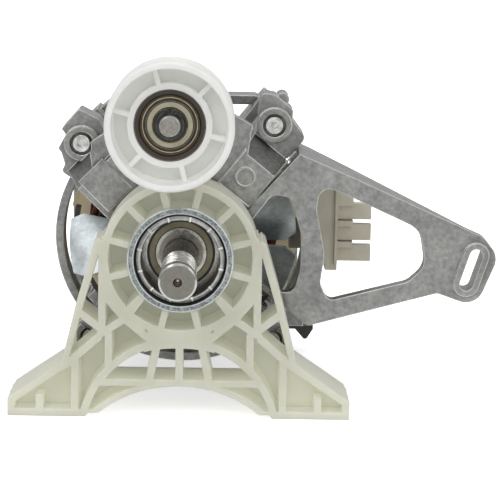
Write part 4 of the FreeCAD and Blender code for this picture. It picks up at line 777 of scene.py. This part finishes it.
# The two thin lighter rings are painted highlights on the bearing's edges.
dress(paint_rings(wheel_bearing_steel, wheel_axis, 0.0,
                  (0.0122, 0.0125, colour(206, 200, 178), colour(140, 132, 112)),
                  (0.0108, 0.0110, colour(150, 140, 116), colour(80, 74, 60))),
      "wheel_bearing_outer", "wheel_bearing_inner", "wheel_bearing_balls")
dress(turned_steel("pressed cage", colour(160, 154, 138), colour(120, 114, 100),
                   rough=0.35, pitch=0.0004, oil_and_shade=1.0),
      *[end + "_bearing_cage" for end in ("front", "rear", "wheel")])


def seal_rubber(name, light, dark, edge, centre, inner, outer):
    """Moulded seal: a pale face between two radii and a dark groove at each side of it."""
    material, tree, shader, place = new_finish(name, 0.0, 0.42)
    shade = drifting(tree, place, light, dark, Size=0.006)
    face = use_group(tree, ring_mask, Place=place, Centre=centre, Inner=inner, Outer=outer, Blur=0.00015)
    tree.links.new(mix(tree, face["Mask"], edge, shade["Color"]), shader.inputs["Base Color"])
    grain_over(tree, shader, place, rounding=0.0003, grain=0.0004, depth=0.1)
    return material


dress(seal_rubber("olive seal", colour(184, 174, 140), colour(160, 150, 118), edge=colour(34, 32, 28),
                  centre=shaft_axis, inner=0.0127, outer=0.0154), "front_bearing_seals", "rear_bearing_seals")
dress(seal_rubber("pale seal", colour(174, 168, 144), colour(154, 148, 124), edge=colour(32, 29, 25),
                  centre=wheel_axis, inner=0.007, outer=0.0103), "wheel_bearing_seals")


# Studio
# A pale floor that curves up behind, four soft lamps and the camera, low in front of the shaft's end.

floor_z = cad_box[0][2]
floor_half = 2.6
bend_start = 2.0
bend_radius = 0.5
sweep_steps = 12
paper_grey = 0.86
near_distance, far_distance = 0.15, 0.7
near_lift, far_lift = 0.6, 1.0
mirrored_light = 0.3

profile = [(-floor_half, 0.0), (bend_start, 0.0)]
for index in range(1, sweep_steps + 1):
    swing = math.pi / 2 * index / sweep_steps
    profile.append((bend_start + bend_radius * math.sin(swing), bend_radius - bend_radius * math.cos(swing)))
profile.append((bend_start + bend_radius, floor_half))
corners = [(x, y, floor_z + z) for y, z in profile for x in (-floor_half, floor_half)]
faces = [(2 * index, 2 * index + 1, 2 * index + 3, 2 * index + 2) for index in range(len(profile) - 1)]
sweep = bpy.data.meshes.new("backdrop")
sweep.from_pydata(corners, [], faces)
backdrop = bpy.data.objects.new("backdrop", sweep)
bpy.context.scene.collection.objects.link(backdrop)

# The paper lights itself a little where the camera sees it, more with the distance, and less in mirrors.
paper, tree, shader, place = new_finish("white paper", metal=0.0, rough=0.9)
shader.inputs["Base Color"].default_value = (paper_grey, paper_grey, paper_grey, 1.0)
sight = tree.nodes.new("ShaderNodeLightPath").outputs
distance = add_node(tree, "ShaderNodeVectorMath", {0: place}, operation="LENGTH").outputs["Value"]
lift = spread(tree, distance, near_distance, far_distance, near_lift, far_lift)
seen = reckon(tree, "MULTIPLY", sight["Is Camera Ray"], lift)
bounced = reckon(tree, "MAXIMUM", sight["Is Glossy Ray"], sight["Is Transmission Ray"])
strength = reckon(tree, "MAXIMUM", seen, reckon(tree, "MULTIPLY", bounced, mirrored_light))
white = add_node(tree, "ShaderNodeEmission", {"Color": (1.0, 1.0, 1.0, 1.0), "Strength": strength})
view = add_node(tree, "ShaderNodeAddShader", {0: shader.outputs[0], 1: white.outputs[0]})
tree.links.new(view.outputs[0], tree.nodes["Material Output"].inputs["Surface"])
sweep.materials.append(paper)

# The room is darker below and lighter above.
below, above = -0.15, 0.5
light_below, light_above = 0.3, 0.58

world = bpy.data.worlds.new("studio")
bpy.context.scene.world = world
world.use_nodes = True
sky = world.node_tree
direction = add_node(sky, "ShaderNodeTexCoord").outputs["Generated"]
rise = add_node(sky, "ShaderNodeSeparateXYZ", {"Vector": direction}).outputs["Z"]
sky.nodes["Background"].inputs["Color"].default_value = (1.0, 1.0, 1.0, 1.0)
room_light = spread(sky, rise, below, above, light_below, light_above)
sky.links.new(room_light, sky.nodes["Background"].inputs["Strength"])

lamp_aim = Vector((0.02, 0.03, 0.0))
for name, where, size, power in (("key", (-0.7, -1.0, 1.2), 0.9, 7.5), ("fill", (1.1, -0.9, 0.7), 0.9, 3.8),
                                 ("front", (0.1, -2.2, 0.9), 1.8, 7.0), ("top", (0.1, 0.2, 1.5), 1.0, 4.0)):
    lamp = bpy.data.lights.new(name, "AREA")
    lamp.size = size
    lamp.energy = power
    holder = bpy.data.objects.new(name, lamp)
    holder.location = where
    holder.rotation_euler = (lamp_aim - Vector(where)).to_track_quat("-Z", "Y").to_euler()
    bpy.context.scene.collection.objects.link(holder)

camera_place = (0.0183, -0.89227, 0.16795)
camera_turn, camera_dip, camera_roll = math.radians(0.959), math.radians(10.305), math.radians(1.05)
focal_length = 136.8
sensor_width = 36.0

ahead = Vector((math.sin(camera_turn) * math.cos(camera_dip), math.cos(camera_turn) * math.cos(camera_dip),
                -math.sin(camera_dip)))
level = Vector((math.cos(camera_turn), -math.sin(camera_turn), 0.0))
upright = level.cross(ahead)
side = level * math.cos(camera_roll) + upright * math.sin(camera_roll)
up = upright * math.cos(camera_roll) - level * math.sin(camera_roll)
lens = bpy.data.cameras.new("camera")
lens.lens = focal_length
lens.sensor_width = sensor_width
camera = bpy.data.objects.new("camera", lens)
camera.matrix_world = Matrix([[side.x, up.x, -ahead.x, camera_place[0]],
                              [side.y, up.y, -ahead.y, camera_place[1]],
                              [side.z, up.z, -ahead.z, camera_place[2]],
                              [0.0, 0.0, 0.0, 1.0]])
bpy.context.scene.collection.objects.link(camera)
bpy.context.scene.camera = camera
bpy.context.scene.view_settings.view_transform = "Standard"
